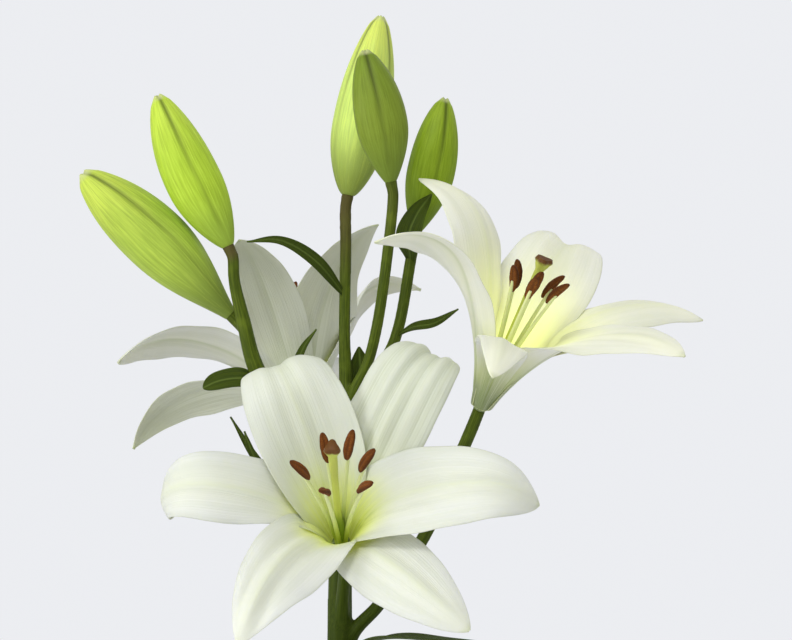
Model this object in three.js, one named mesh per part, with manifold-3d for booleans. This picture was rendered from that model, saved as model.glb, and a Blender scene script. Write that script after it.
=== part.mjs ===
// One flowering stem of white lilies standing in a plain bottle vase of water.
//
// Units are millimetres and +Z is up. The origin is the centre of the vase's flat foot. The spray is made to
// be looked at from -Y, and +X is then to the right. Three blooms are open, five buds are closed.
//
// Every tepal (lily petal) follows one rule: its midrib leaves the bloom's axis by an angle that grows along
// its length, and its blade spreads to both sides of that midrib with a width, a hollow and a ripple.

import * as THREE from "three";
import { mergeVertices } from "three/addons/utils/BufferGeometryUtils.js";
import Module from "manifold-3d";

const wasm = await Module();
wasm.setup();

// ---------------------------------------------------------------- driving dimensions

const GAP = 0.3; // clearance between pieces that touch in the real object

// The outline is the radius and height of the outer wall, from the foot to the lip.
const VASE = {
  wall: 4.5,
  floor: 8,
  outline: [
    [47, 0],
    [58, 14],
    [66, 48],
    [60, 88],
    [40, 126],
    [23, 152],
    [18.5, 172],
    [20, 188],
    [25, 200],
  ],
  segments: 32,
  steps: 13,
};

const WATER_LEVEL = 128;
const STEM_HOLE_CLEARANCE = 0.6;

const STEM_SIDES = 8;
const STALK_SIDES = 7;

// Main stem: the way it climbs to the bud that it carries, and its radius at each of those points.
const MAIN_STEM = {
  carries: "bud_c",
  points: [
    [0, 0, VASE.floor + GAP],
    [0, 0, 150],
    [0, 0, 230],
    [-0.5, 0, 290],
    [-0.2, 0, 330],
    [0.6, 0, 362],
    [2, 1.5, 396],
    [1.5, 5, 430],
    [2, 8.5, 466],
  ],
  radii: [6, 6, 5.9, 5.8, 5.3, 4.6, 3.3, 2.7, 2.7],
  steps: 16,
};

// Flower stalks that leave the main stem, each from its root towards the bloom or bud that it carries.
const STALKS = {
  bud_b: {
    points: [
      [0, 0, 352],
      [-8, -2, 372],
      [-24, -8, 393],
      [-37.5, -12, 412],
      [-43.5, -13, 434],
      [-47.5, -13.8, 452],
    ],
    radii: [4.2, 4, 3.9, 3.9, 3.3, 2.7],
  },
  bud_a: {
    points: [[-42.5, -11, 430]],
    radii: [3],
  },
  bud_d: {
    points: [
      [1.8, 1, 390],
      [6, -2, 402],
      [11.8, -6, 414],
      [16.2, -10, 431],
      [21, -14, 464],
    ],
    radii: [2.8, 2.8, 2.6, 2.6, 2.6],
  },
  bud_e: {
    points: [
      [1.8, 1, 388],
      [8, 4, 400],
      [21.5, 10, 419],
      [26, 14, 431],
      [31.4, 20, 461],
    ],
    radii: [2.8, 2.8, 2.7, 2.7, 2.7],
  },
  bloom_1: {
    points: [
      [0, 0, 296],
      [0.8, -8, 309],
      [1.9, -24, 323.6],
    ],
    radii: [3.6, 3.1, 2.9],
  },
  bloom_2: {
    points: [
      [0, 0, 280],
      [6, -1, 294],
      [17, -3, 306],
      [38, -4, 338],
      [52.5, -5, 371],
    ],
    radii: [3.6, 3.3, 3, 3, 3],
  },
  bloom_3: {
    points: [
      [0, 0, 346],
      [-4, 12, 358],
      [-10, 31, 368],
    ],
    radii: [3.4, 3, 2.9],
  },
};

// A stalk's last points lie on the axis of what it carries, this far before it, so that its end is square to
// that axis.
const BUD_APPROACH = [5, 2.5, GAP];
const BLOOM_APPROACH = [9, GAP];
const BUD_SEAT_RADIUS = 2.9;

// Buds: the way from base to tip and the widest diameter. bow: how far the middle stands out to the right.
// seam: degrees from the front to a furrow. belly: where along its length a bud is widest. fullness: below 1
// the bud swells quickly from its base, above 1 slowly.
const BUDS = {
  bud_a: {
    base: [-49.5, -6, 436.5],
    tip: [-115, -14, 499],
    width: 29,
    bow: 0.5,
    seam: 30,
    belly: 0.52,
    fullness: 1.15,
  },
  bud_b: {
    base: [-50.2, -14.5, 467],
    tip: [-81.5, -15.5, 533.5],
    width: 25,
    bow: -2,
    seam: 14,
    belly: 0.43,
    fullness: 0.8,
  },
  bud_c: {
    base: [2.9, 11.2, 490.5],
    tip: [17.8, 13, 571],
    width: 25.5,
    bow: 0,
    seam: 60,
    belly: 0.38,
    fullness: 0.7,
  },
  bud_d: {
    base: [22.5, -15.2, 495.5],
    tip: [11, -17, 553.5],
    width: 23,
    bow: 1,
    seam: 2,
    belly: 0.45,
    fullness: 0.9,
  },
  bud_e: {
    base: [34, 22.3, 474.6],
    tip: [46.9, 25, 534.5],
    width: 21.5,
    bow: 0.3,
    seam: 20,
    belly: 0.45,
    fullness: 0.9,
  },
};
// lobe: how far the three tepal backs stand out, as a share of the radius. foot: the base's share of the
// width.
// taper: how a bud narrows above its belly: where the taper would end, and its two powers.
const BUD_FORM = { sides: 12, rings: 9, lobe: 0.05, foot: 0.21, taper: [1.05, 2.2, 0.8] };

// Leaves and bracts on the stem above the photo's lower edge. face is the way the upper side looks. widest
// and tip change a leaf's outline from the usual one.
const UP = [0, 0, 1];
const TO_VIEWER = [0, -1, 0];
const LEAVES = [
  {
    points: [
      [1.6, 6, 445],
      [-12.6, -7, 461.5],
      [-27.5, -12, 469.6],
      [-42, -13, 469],
    ],
    width: 5.4,
    face: [0.2, -0.9, 0.4],
    widest: 0.35,
  },
  {
    points: [
      [25.6, 12, 427],
      [32, 6, 430.5],
      [42, 4, 432.5],
      [53, 5, 439],
    ],
    width: 6,
    face: [-0.2, -0.7, 0.7],
  },
  {
    points: [
      [31.5, 19, 461],
      [30.5, 9, 472],
      [34.5, 6, 482],
      [41, 7, 491],
    ],
    width: 12,
    face: [-0.3, -0.9, 0.1],
  },
  {
    points: [
      [-22, -7, 390],
      [-21, -8, 408],
      [-17, -9, 421],
      [-10.8, -9, 430],
    ],
    width: 5,
    face: [-0.5, -0.8, 0],
  },
  {
    points: [
      [-35, -11, 407],
      [-46, -13, 408],
      [-55, -14, 406.5],
      [-61.5, -14, 403.5],
    ],
    width: 10,
    face: [0, -0.9, 0.45],
    tip: [3, 0.6],
  },
  {
    points: [
      [0, 2, 338],
      [-20, 7, 352],
      [-36, 7, 368],
      [-50, 4, 390.5],
    ],
    width: 5,
    face: TO_VIEWER,
  },
  {
    points: [
      [-31, 7, 362],
      [-39, 2, 372],
      [-43.5, 0, 384],
    ],
    width: 3.6,
    face: TO_VIEWER,
  },
  {
    points: [
      [3, 3, 378],
      [6, 8, 396],
      [8.5, 10, 408],
      [8, 11, 422],
    ],
    width: 18,
    face: TO_VIEWER,
  },
  {
    points: [
      [2, -2, 282],
      [17, -16, 291.5],
      [42, -28, 292],
      [70, -34, 288.5],
      [88, -34, 276],
    ],
    width: 15,
    face: UP,
  },
];
const LEAF_FORM = {
  thickness: 0.9,
  steps: 6,
  across: 2,
  root: 0.35,
  widest: 0.45,
  tip: [1.75, 0.85],
  hollow: 0.22,
  leastHalfWidth: 0.5,
};

// Stem leaves between the vase's lip and the photo's lower edge, set in a spiral.
const SPIRAL = {
  count: 9,
  lowest: 214,
  highest: 262,
  turn: 137.5,
  start: 200,
  drift: 0.08, // radians that a leaf turns round the stem from each point to the next
  root: 3,
  length: 82,
  lengthChange: 14,
  lengthStep: 2.4,
  width: 14,
  rise: 48, // degrees above level where a leaf leaves the stem
  fall: -38, // degrees at its tip
  points: 4,
};

// Tepals. The three inner ones are broader and stand in front of the three outer ones. tube: between these
// shares of its length a tepal leaves the curve of the bloom's tube and folds along its midrib instead.
const INNER = {
  width: 45,
  root: 0.22,
  widest: 0.5,
  startRadius: 3.4,
  fold: -0.16,
  ripple: 1.6,
  tube: [0.3, 0.75],
};
const OUTER = {
  width: 38,
  root: 0.28,
  widest: 0.47,
  startRadius: 4.2,
  fold: -0.24,
  ripple: 1.1,
  tube: [0.2, 0.55],
};
const TEPAL_FORM = {
  thickness: 0.9,
  along: 9,
  across: 4,
  foot: 1, // height of the root above the bloom's seat
  midribSteps: 60,
  leastHalfWidth: 0.8,
  ripples: [9, 8], // radians of wave along the two margins
  grooveReach: 4.5,
  grooveFrom: [0.45, 0.8], // shares of the length between which a groove deepens
  waistUpTo: [0.25, 0.65], // shares of the length between which a waist widens to the full blade
  crowding: 1.1, // how much more the steps crowd towards the root than a sine would
  twistFrom: 0.15,
};
// The tip of a blade: the first number keeps it wide for longer, the second one rounds it off.
const ROUND_TIP = [2, 0.68];
const SLENDER_TIP = [1.75, 0.85];
const CORE = { bottomRadius: 2.9, topRadius: 4.6, shoulder: 3, height: 5, sides: 12 };

// turn: degrees round the bloom's axis. open: degrees between midrib and axis at the root, halfway and tip.
// curl: further degrees by which the end bends back, and the share of the length where that starts. sway:
// degrees that the tip leans to one side. twist: degrees that the blade has turned about its midrib at the
// tip. wide and spread: its width, and that of its two halves, against the kind's own. waist: how much of
// that width the two halves have near the root. groove: depth of the fold along the midrib near the tip.
// along: how many steps the blade has, where a curl needs more.
// stamens: degrees round the bloom's axis, and degrees away from it.
const BLOOMS = {
  bloom_1: {
    seat: [1, -42, 334.5],
    axis: [-0.044, -0.861, 0.507],
    tepals: [
      {
        kind: INNER,
        turn: -26,
        open: [12, 46, 98],
        curl: [115, 0.56],
        sway: 3,
        length: 124,
        groove: 3,
        along: 11,
      },
      {
        kind: OUTER,
        turn: 37,
        open: [12, 54, 92],
        curl: [105, 0.6],
        sway: -9,
        length: 132,
        wide: 1.1,
        spread: [1, 0.88],
        groove: 4,
        tip: [2.6, 0.62],
        along: 11,
      },
      {
        kind: INNER,
        turn: 89,
        open: [12, 47, 112],
        curl: [42, 0.72],
        sway: 8,
        length: 122,
        spread: [0.95, 0.92],
      },
      { kind: OUTER, turn: 147, open: [13, 60, 110], sway: -17, length: 107, wide: 0.94 },
      {
        kind: INNER,
        turn: 220,
        open: [14, 43, 114],
        sway: -23,
        length: 112,
        wide: 0.96,
        spread: [1, 0.76],
        tip: SLENDER_TIP,
      },
      {
        kind: OUTER,
        turn: 270,
        open: [9, 58, 124],
        curl: [81, 0.56],
        sway: 3,
        length: 124,
        twist: -14,
        wide: 0.91,
        spread: [0.94, 1.09],
        waist: [0.6, 1],
        along: 14,
      },
    ],
    stamens: [
      [277, 11],
      [343, 9.8],
      [25, 12.1],
      [65, 12.2],
      [115, 11.8],
      [199, 7.3],
    ],
    pistil: { length: 78, lean: [0.3, 4.5] },
  },
  bloom_2: {
    seat: [62, -12, 394],
    axis: [0.35, -0.274, 0.896],
    tepals: [
      {
        kind: OUTER,
        turn: -2,
        open: [10, 20, 62],
        curl: [50, 0.55],
        sway: -7,
        length: 121,
        wide: 1.05,
        waist: [1, 0.4],
      },
      {
        kind: INNER,
        turn: 67,
        open: [13, 47, 78],
        curl: [60, 0.62],
        sway: -7,
        length: 126,
        spread: [0.9, 1.05],
        groove: 4.5,
      },
      { kind: OUTER, turn: 118, open: [17, 31, 106], sway: 8, length: 117 },
      {
        kind: INNER,
        turn: 173,
        open: [19, 36, 96],
        sway: 4,
        length: 114,
        twist: 25,
        spread: [0.9, 0.9],
        tip: [1.9, 0.8],
      },
      { kind: OUTER, turn: 242, open: [16, 56, 122], sway: -10, length: 109, spread: [0.68, 0.6] },
      {
        kind: INNER,
        turn: 300,
        open: [15, 28, 82],
        curl: [42, 0.5],
        sway: -10,
        length: 121,
        twist: 40,
        wide: 0.95,
        spread: [0.6, 1],
      },
    ],
    stamens: [
      [268, 10.1],
      [261, 14.6],
      [232, 15.8],
      [226, 11],
      [191, 14.4],
      [187, 10],
    ],
    pistil: { length: 71, lean: [-1.2, -3.3] },
  },
  bloom_3: {
    seat: [-16.5, 48, 384],
    axis: [-0.206, 0.509, 0.836],
    tepals: [
      {
        kind: OUTER,
        turn: 29,
        open: [12, 52, 117],
        sway: 3,
        length: 116,
        wide: 0.9,
        spread: [0.88, 0.95],
        tip: SLENDER_TIP,
      },
      {
        kind: INNER,
        turn: 90,
        open: [10, 56, 136],
        sway: -1,
        length: 110,
        wide: 0.6,
        tip: [3, 0.6],
      },
      {
        kind: OUTER,
        turn: 138,
        open: [15, 62, 140],
        sway: -4,
        length: 109,
        twist: 15,
        wide: 0.78,
        tip: SLENDER_TIP,
      },
      { kind: INNER, turn: 208, open: [12, 50, 115], sway: 0, length: 108 },
      {
        kind: OUTER,
        turn: 280,
        open: [24, 22, 52],
        curl: [66, 0.62],
        sway: -7,
        length: 111,
        twist: -15,
        wide: 0.62,
        tip: SLENDER_TIP,
      },
      {
        kind: INNER,
        turn: 338,
        open: [12, 39, 117],
        sway: 14,
        length: 115,
        spread: [0.55, 0.72],
        waist: [3, 1],
        tip: SLENDER_TIP,
      },
    ],
    stamens: [0, 1, 2, 3, 4, 5].map((i) => [20 + 60 * i, 6]),
    pistil: { length: 75, lean: [0, 3] },
  },
};

// arch: above 1 a filament leaves the axis slowly at first. balance: where along its length an anther is
// held. end: how blunt it is.
const FILAMENT = {
  length: 61,
  radius: 1.2,
  tipRadius: 0.8,
  startRadius: 1.9,
  arch: 1.3,
  knots: [0, 0.35, 0.7, 1], // shares of the length at which the curve is set
  sides: 4,
  steps: 3,
};
const ANTHER = { length: 16, width: 4.8, sides: 6, rings: 4, tilt: 14, balance: 0.42, end: 0.4 };
const PISTIL = {
  ovaryLength: 20,
  ovaryRadius: 2.4,
  styleRadius: 1.5,
  neckLength: 7, // from the stigma's top down to where the style starts to widen
  neckRadius: 1.9,
  stigmaRadius: 4,
  stigmaHeight: 3,
  sides: 8,
};
// sink: how far up from the base's underside a filament, and the pistil, start.
const STAMEN_BASE = { radius: 3, height: 2.5, sides: 10, sink: { filament: 1, pistil: 0.5 } };

// ---------------------------------------------------------------- small helpers

const LARGEST_SCRAP = 1; // cubic millimetres that a join may leave loose

const vec = (p) => new THREE.Vector3(...p);
const radians = THREE.MathUtils.degToRad;
const lerp = THREE.MathUtils.lerp;
const smooth = THREE.MathUtils.smoothstep; // rises softly from 0 to 1 between two bounds

// A smooth curve through points.
const through = (points) => new THREE.CatmullRomCurve3(points.map(vec), false, "centripetal");

// The value at t (0 to 1) of a list of evenly spaced values.
function valueAt(list, t) {
  const place = t * (list.length - 1);
  const i = Math.min(Math.floor(place), list.length - 2);
  return lerp(list[i], list[i + 1], place - i);
}

// The value at t of a smooth bend from the first of three values to the last, drawn towards the middle one.
const bend = ([a, b, c], t) => (1 - t) ** 2 * a + 2 * t * (1 - t) * b + t * t * c;

// Joins rings of equally many points into one closed surface. A blade's second half runs back along its other
// face, so its squares are split the other way, which keeps the two faces' triangles alike.
function loft(rings, isBlade = false) {
  const count = rings[0].length;
  const positions = rings.flat().flatMap((p) => [p.x, p.y, p.z]);
  const index = [];
  for (let i = 0; i < rings.length - 1; i++) {
    for (let j = 0; j < count; j++) {
      const k = (j + 1) % count;
      const a = i * count + j;
      const b = i * count + k;
      const c = a + count;
      const d = b + count;
      if (isBlade && j >= count / 2) index.push(a, b, c, b, d, c);
      else index.push(a, b, d, a, d, c);
    }
  }
  for (const [ring, first, flip] of [
    [rings[0], 0, true],
    [rings.at(-1), (rings.length - 1) * count, false],
  ]) {
    if (isBlade) {
      for (let j = 0; j < count / 2 - 1; j++) {
        const a = first + j;
        const b = first + j + 1;
        const c = first + count - 1 - j;
        const d = first + count - 2 - j;
        if (flip) index.push(a, c, b, b, c, d);
        else index.push(a, b, c, b, d, c);
      }
    } else {
      const middle = ring.reduce((sum, p) => sum.add(p), new THREE.Vector3()).divideScalar(count);
      const centre = positions.length / 3;
      positions.push(middle.x, middle.y, middle.z);
      for (let j = 0; j < count; j++) {
        const a = first + j;
        const b = first + ((j + 1) % count);
        if (flip) index.push(centre, b, a);
        else index.push(centre, a, b);
      }
    }
  }
  const geometry = new THREE.BufferGeometry();
  geometry.setAttribute("position", new THREE.Float32BufferAttribute(positions, 3));
  geometry.setIndex(index);
  return geometry;
}

// A closed geometry as a solid that can be joined and cut.
function solid(geometry) {
  const bare = geometry.clone();
  bare.deleteAttribute("normal");
  bare.deleteAttribute("uv");
  const merged = mergeVertices(bare, 1e-4);
  const vertProperties = merged.attributes.position.array;
  const triVerts = new Uint32Array(merged.index.array);
  return new wasm.Manifold(new wasm.Mesh({ numProp: 3, vertProperties, triVerts }));
}

// All the geometries joined into one, without loose scraps.
function joined(geometries) {
  const whole = geometries.map(solid).reduce((sum, piece) => sum.add(piece));
  const bodies = whole.decompose().sort((a, b) => b.volume() - a.volume());
  const loose = bodies.slice(1).reduce((sum, body) => sum + body.volume(), 0);
  if (loose > LARGEST_SCRAP) throw new Error("a piece isn't joined to the rest");
  const mesh = bodies[0].getMesh();
  const geometry = new THREE.BufferGeometry();
  geometry.setAttribute("position", new THREE.BufferAttribute(mesh.vertProperties, 3));
  geometry.setIndex(new THREE.BufferAttribute(mesh.triVerts, 1));
  geometry.computeVertexNormals();
  return geometry;
}

// A round rod along a curve, with a radius from a list.
function rod(points, radii, sides, steps) {
  const path = through(points);
  const frames = path.computeFrenetFrames(steps);
  const rings = [];
  for (let i = 0; i <= steps; i++) {
    const centre = path.getPointAt(i / steps);
    const radius = valueAt(radii, path.getUtoTmapping(i / steps));
    rings.push(circle(centre, frames.normals[i], frames.binormals[i], radius, sides));
  }
  return loft(rings);
}

// A ring of points round a centre. shape scales the radius at each angle.
function circle(centre, e1, e2, radius, sides, shape = () => 1) {
  return Array.from({ length: sides }, (_, j) => {
    const a = (2 * Math.PI * j) / sides;
    const r = radius * shape(a);
    return centre.clone().addScaledVector(e1, r * Math.cos(a)).addScaledVector(e2, r * Math.sin(a));
  });
}

// A thin blade from stations along its midrib. Each station has a point, the directions of its side and of
// its upper face, its half width, its hollow, the lift of its two margins and the depth of its middle groove.
function blade(stations, across, thickness) {
  const rings = stations.map((station) => {
    const { point, side, normal, half, hollow, spread = [1, 1], lifts = [0, 0], groove = 0 } = station;
    const upper = [];
    const lower = [];
    for (let j = 0; j <= across; j++) {
      const u = (2 * j) / across - 1;
      const margin = u < 0 ? 0 : 1;
      const reach = u * half * spread[margin];
      const dip = groove * Math.exp(-((reach / TEPAL_FORM.grooveReach) ** 2));
      const lift = (hollow * reach * reach) / half + Math.abs(u) ** 3 * lifts[margin] - dip;
      const middle = point.clone().addScaledVector(side, reach).addScaledVector(normal, lift);
      const out = normal.clone().addScaledVector(side, -2 * hollow * u).normalize();
      upper.push(middle.clone().addScaledVector(out, thickness / 2));
      lower.unshift(middle.clone().addScaledVector(out, -thickness / 2));
    }
    return [...upper, ...lower];
  });
  return loft(rings, true);
}

const OUTLINE_RISE = 1.25;

// Share of the full width at s along a tepal or leaf: a narrow root, the widest part and the tip.
function outline(s, { root, widest }, tip) {
  if (s < widest) return root + (1 - root) * Math.sin((Math.PI / 2) * (s / widest)) ** OUTLINE_RISE;
  const q = (s - widest) / (1 - widest);
  return (1 - q ** tip[0]) ** tip[1];
}

// ---------------------------------------------------------------- blooms

// Directions of a bloom: along its axis, and two across it, the second one as far up as it can be.
function bloomFrame({ seat, axis }) {
  const along = vec(axis).normalize();
  const high = vec(UP).addScaledVector(along, -along.z).normalize();
  const wide = new THREE.Vector3().crossVectors(high, along);
  return { seat: vec(seat), along, high, wide };
}

// Outward direction at a turn round the axis, and the direction in which the turn grows.
function turned({ high, wide }, turn) {
  const a = radians(turn);
  const out = high.clone().multiplyScalar(Math.cos(a)).addScaledVector(wide, Math.sin(a));
  const round = wide.clone().multiplyScalar(Math.cos(a)).addScaledVector(high, -Math.sin(a));
  return { out, round };
}

// Stations of a tepal. They stand closer together towards its tip.
function tepalStations(frame, tepal) {
  const { kind, turn, open, curl = [0, 0], sway, length, twist = 0 } = tepal;
  const { wide = 1, spread = [1, 1], waist = [1, 1], groove = 0, tip = ROUND_TIP } = tepal;
  const { along = TEPAL_FORM.along } = tepal;
  const { foot, midribSteps, leastHalfWidth, ripples, grooveFrom, waistUpTo, twistFrom } = TEPAL_FORM;
  const { out, round } = turned(frame, turn);
  const point = frame.seat.clone().addScaledVector(frame.along, foot).addScaledVector(out, kind.startRadius);
  const stations = [];
  let walked = 0;
  for (let i = 0; i <= along; i++) {
    const s = Math.sin((Math.PI / 2) * (i / along)) ** TEPAL_FORM.crowding;
    while (walked < midribSteps * s) {
      const t = (walked + 0.5) / midribSteps;
      point.addScaledVector(direction(t).tangent, length / midribSteps);
      walked += 1;
    }
    const { side, normal } = direction(s);
    const half = Math.max((kind.width / 2) * wide * outline(s, kind, tip), leastHalfWidth);
    const fromAxis = point.clone().sub(frame.seat).projectOnPlane(frame.along).length();
    const tube = 1 - smooth(s, ...kind.tube);
    const hollow = (tube * half) / (2 * fromAxis) + (1 - tube) * kind.fold;
    const edge = Math.sin(Math.PI * s) * kind.ripple;
    const lifts = ripples.map((waves, margin) => edge * Math.sin(waves * s + (margin + 1) * turn));
    const full = smooth(s, ...waistUpTo);
    const halves = spread.map((share, margin) => share * lerp(waist[margin], 1, full));
    const depth = groove * smooth(s, ...grooveFrom);
    stations.push({ point: point.clone(), side, normal, half, spread: halves, hollow, lifts, groove: depth });
  }
  return stations;

  function direction(s) {
    const angle = radians(bend(open, s) + curl[0] * smooth(s, curl[1], 1));
    const lean = radians(sway * s);
    const away = out.clone().multiplyScalar(Math.cos(lean)).addScaledVector(round, Math.sin(lean));
    const across = round.clone().multiplyScalar(Math.cos(lean)).addScaledVector(out, -Math.sin(lean));
    const axis = frame.along;
    const tangent = axis.clone().multiplyScalar(Math.cos(angle)).addScaledVector(away, Math.sin(angle));
    const inward = axis.clone().multiplyScalar(Math.sin(angle)).addScaledVector(away, -Math.cos(angle));
    const roll = radians(twist) * smooth(s, twistFrom, 1);
    const side = across.clone().applyAxisAngle(tangent, roll);
    const normal = inward.applyAxisAngle(tangent, roll);
    return { tangent, side, normal };
  }
}

// The cup that the six tepals grow from.
function core(frame) {
  const { seat, along, high, wide } = frame;
  const { bottomRadius, topRadius, shoulder, height, sides } = CORE;
  const ring = (radius, up) => circle(seat.clone().addScaledVector(along, up), high, wide, radius, sides);
  return loft([ring(topRadius, height), ring(topRadius, shoulder), ring(bottomRadius, 0)]);
}

function perianth(bloom) {
  const frame = bloomFrame(bloom);
  const blades = bloom.tepals.map((tepal) =>
    blade(tepalStations(frame, tepal), TEPAL_FORM.across, TEPAL_FORM.thickness),
  );
  return joined([core(frame), ...blades]);
}

// A filament with its anther, which lies across the filament's end.
function stamen(frame, foot, turn, spread) {
  const { seat, along } = frame;
  const { out, round } = turned(frame, turn);
  const ends = FILAMENT.knots.map((t) => {
    const up = foot + FILAMENT.length * t * Math.cos(radians(spread * t));
    const away = FILAMENT.startRadius + FILAMENT.length * Math.tan(radians(spread)) * t ** FILAMENT.arch;
    return seat.clone().addScaledVector(along, up).addScaledVector(out, away);
  });
  const filament = rod(
    ends.map((p) => p.toArray()),
    [FILAMENT.radius, FILAMENT.tipRadius],
    FILAMENT.sides,
    FILAMENT.steps,
  );
  const lean = radians(spread * FILAMENT.arch + ANTHER.tilt);
  const long = along.clone().multiplyScalar(Math.cos(lean)).addScaledVector(out, Math.sin(lean));
  const thick = new THREE.Vector3().crossVectors(long, round);
  const rings = [];
  for (let i = 0; i <= ANTHER.rings; i++) {
    const t = i / ANTHER.rings;
    const radius = (ANTHER.width / 2) * Math.max(Math.sqrt(Math.sin(Math.PI * t)), ANTHER.end);
    const centre = ends.at(-1).clone().addScaledVector(long, ANTHER.length * (t - ANTHER.balance));
    rings.push(circle(centre, round, thick, radius, ANTHER.sides));
  }
  return [filament, loft(rings)];
}

// Ovary, style and stigma, bent to one side by its lean.
function pistil(frame, foot, { length, lean }) {
  const { seat, along, high, wide } = frame;
  const { ovaryLength, ovaryRadius, styleRadius, neckLength, neckRadius } = PISTIL;
  const { stigmaRadius, stigmaHeight, sides } = PISTIL;
  const profile = [
    [0, ovaryRadius * 0.8],
    [ovaryLength * 0.3, ovaryRadius],
    [ovaryLength, styleRadius],
    [length * 0.6, styleRadius],
    [length - neckLength, neckRadius],
    [length - stigmaHeight, stigmaRadius],
    [length, stigmaRadius * 0.8],
  ];
  const rings = profile.map(([up, radius]) => {
    const share = (up / length) ** 2;
    const centre = seat
      .clone()
      .addScaledVector(along, foot + up)
      .addScaledVector(wide, lean[0] * share)
      .addScaledVector(high, lean[1] * share);
    return circle(centre, high, wide, radius, sides);
  });
  return loft(rings.reverse());
}

// Six stamens round the pistil, all on one small base.
function stamensAndPistil(bloom) {
  const frame = bloomFrame(bloom);
  const { seat, along, high, wide } = frame;
  const { radius, height, sides, sink } = STAMEN_BASE;
  const foot = CORE.height + GAP;
  const ring = (up) => circle(seat.clone().addScaledVector(along, up), high, wide, radius, sides);
  return joined([
    loft([ring(foot + height), ring(foot)]),
    ...bloom.stamens.flatMap(([turn, spread]) => stamen(frame, foot + sink.filament, turn, spread)),
    pistil(frame, foot + sink.pistil, bloom.pistil),
  ]);
}

// ---------------------------------------------------------------- buds, stems and leaves

// The axis of a bud: the point where it starts and the way to its tip.
function budFrame({ base, tip }) {
  const seat = vec(base);
  const along = vec(tip).sub(seat);
  const length = along.length();
  return { seat, along: along.normalize(), length };
}

// A closed bud: three tepal backs with furrows between them, quickly drawn in at its base.
function bud(form) {
  const { width, bow, seam, belly, fullness } = form;
  const { seat, along, length } = budFrame(form);
  const right = new THREE.Vector3().crossVectors(along, vec(TO_VIEWER)).normalize();
  const front = new THREE.Vector3().crossVectors(right, along);
  const { sides, rings: count, lobe, foot, taper } = BUD_FORM;
  const rings = [];
  for (let i = 0; i <= count; i++) {
    const t = 0.5 - 0.5 * Math.cos((Math.PI * i) / count);
    const middle = Math.sin(Math.PI * t);
    const centre = seat.clone().addScaledVector(along, length * t).addScaledVector(right, bow * middle);
    const lobes = (a) => 1 - lobe * middle * Math.cos(3 * (a - radians(seam)));
    rings.push(circle(centre, front, right, (width / 2) * swell(t), sides, lobes));
  }
  return loft(rings);

  function swell(t) {
    if (t < belly) return foot + (1 - foot) * Math.sin((Math.PI / 2) * (t / belly)) ** fullness;
    const [end, late, blunt] = taper;
    return (1 - ((t - belly) / (end - belly)) ** late) ** blunt;
  }
}

// A leaf along a curve.
function leaf({ points, width, face, widest = LEAF_FORM.widest, tip = LEAF_FORM.tip }) {
  const { thickness, steps, across, root, hollow, leastHalfWidth } = LEAF_FORM;
  const path = through(points);
  const stations = [];
  for (let i = 0; i <= steps; i++) {
    const s = i / steps;
    const tangent = path.getTangentAt(s);
    const side = new THREE.Vector3().crossVectors(vec(face), tangent).normalize();
    const normal = new THREE.Vector3().crossVectors(tangent, side);
    const half = Math.max((width / 2) * outline(s, { root, widest }, tip), leastHalfWidth);
    stations.push({ point: path.getPointAt(s), side: side.negate(), normal, half, hollow });
  }
  return blade(stations, across, thickness);
}

// The leaves low on the stem, each arching out and down.
function spiralLeaves() {
  return Array.from({ length: SPIRAL.count }, (_, i) => {
    const turn = radians(SPIRAL.start + SPIRAL.turn * i);
    const length = SPIRAL.length + SPIRAL.lengthChange * Math.sin(SPIRAL.lengthStep * i);
    const step = length / SPIRAL.points;
    const points = [];
    let reach = SPIRAL.root;
    let height = lerp(SPIRAL.lowest, SPIRAL.highest, i / (SPIRAL.count - 1));
    for (let k = 0; k <= SPIRAL.points; k++) {
      const angle = turn + SPIRAL.drift * k;
      points.push([reach * Math.cos(angle), reach * Math.sin(angle), height]);
      const slope = radians(lerp(SPIRAL.rise, SPIRAL.fall, (k + 0.5) / SPIRAL.points));
      reach += step * Math.cos(slope);
      height += step * Math.sin(slope);
    }
    return leaf({ points, width: SPIRAL.width, face: UP });
  });
}

// A stalk that ends just before the bloom or bud that it carries, square to its axis.
function stalk(carried, { points, radii }, sides, steps) {
  const isBloom = carried in BLOOMS;
  const { seat, along } = isBloom ? bloomFrame(BLOOMS[carried]) : budFrame(BUDS[carried]);
  const approach = isBloom ? BLOOM_APPROACH : BUD_APPROACH;
  const way = [...points, ...approach.map((back) => seat.clone().addScaledVector(along, -back).toArray())];
  const end = isBloom ? CORE.bottomRadius : BUD_SEAT_RADIUS;
  const last = approach.map((back) => (back === GAP ? end : radii.at(-1)));
  return rod(way, [...radii, ...last], sides, steps ?? way.length + 3);
}

// Stem, stalks and leaves, which grew as one piece.
function leafyStem() {
  const stalks = Object.entries(STALKS).map(([name, form]) => stalk(name, form, STALK_SIDES));
  return joined([
    stalk(MAIN_STEM.carries, MAIN_STEM, STEM_SIDES, MAIN_STEM.steps),
    ...stalks,
    ...LEAVES.map(leaf),
    ...spiralLeaves(),
  ]);
}

// ---------------------------------------------------------------- vase and water

function vaseProfiles() {
  const curve = new THREE.SplineCurve(VASE.outline.map(([r, z]) => new THREE.Vector2(r, z)));
  const outer = curve.getPoints(VASE.steps);
  const inner = outer
    .filter((p) => p.y > VASE.floor)
    .map((p) => new THREE.Vector2(p.x - VASE.wall, p.y))
    .reverse();
  const atFloor = inner.at(-1).x;
  return { outer, inner: [...inner, new THREE.Vector2(atFloor - 2, VASE.floor)] };
}

function vase() {
  const { outer, inner } = vaseProfiles();
  const profile = [new THREE.Vector2(0, 0), ...outer, ...inner, new THREE.Vector2(0, VASE.floor)];
  return upright(new THREE.LatheGeometry(profile, VASE.segments));
}

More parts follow.
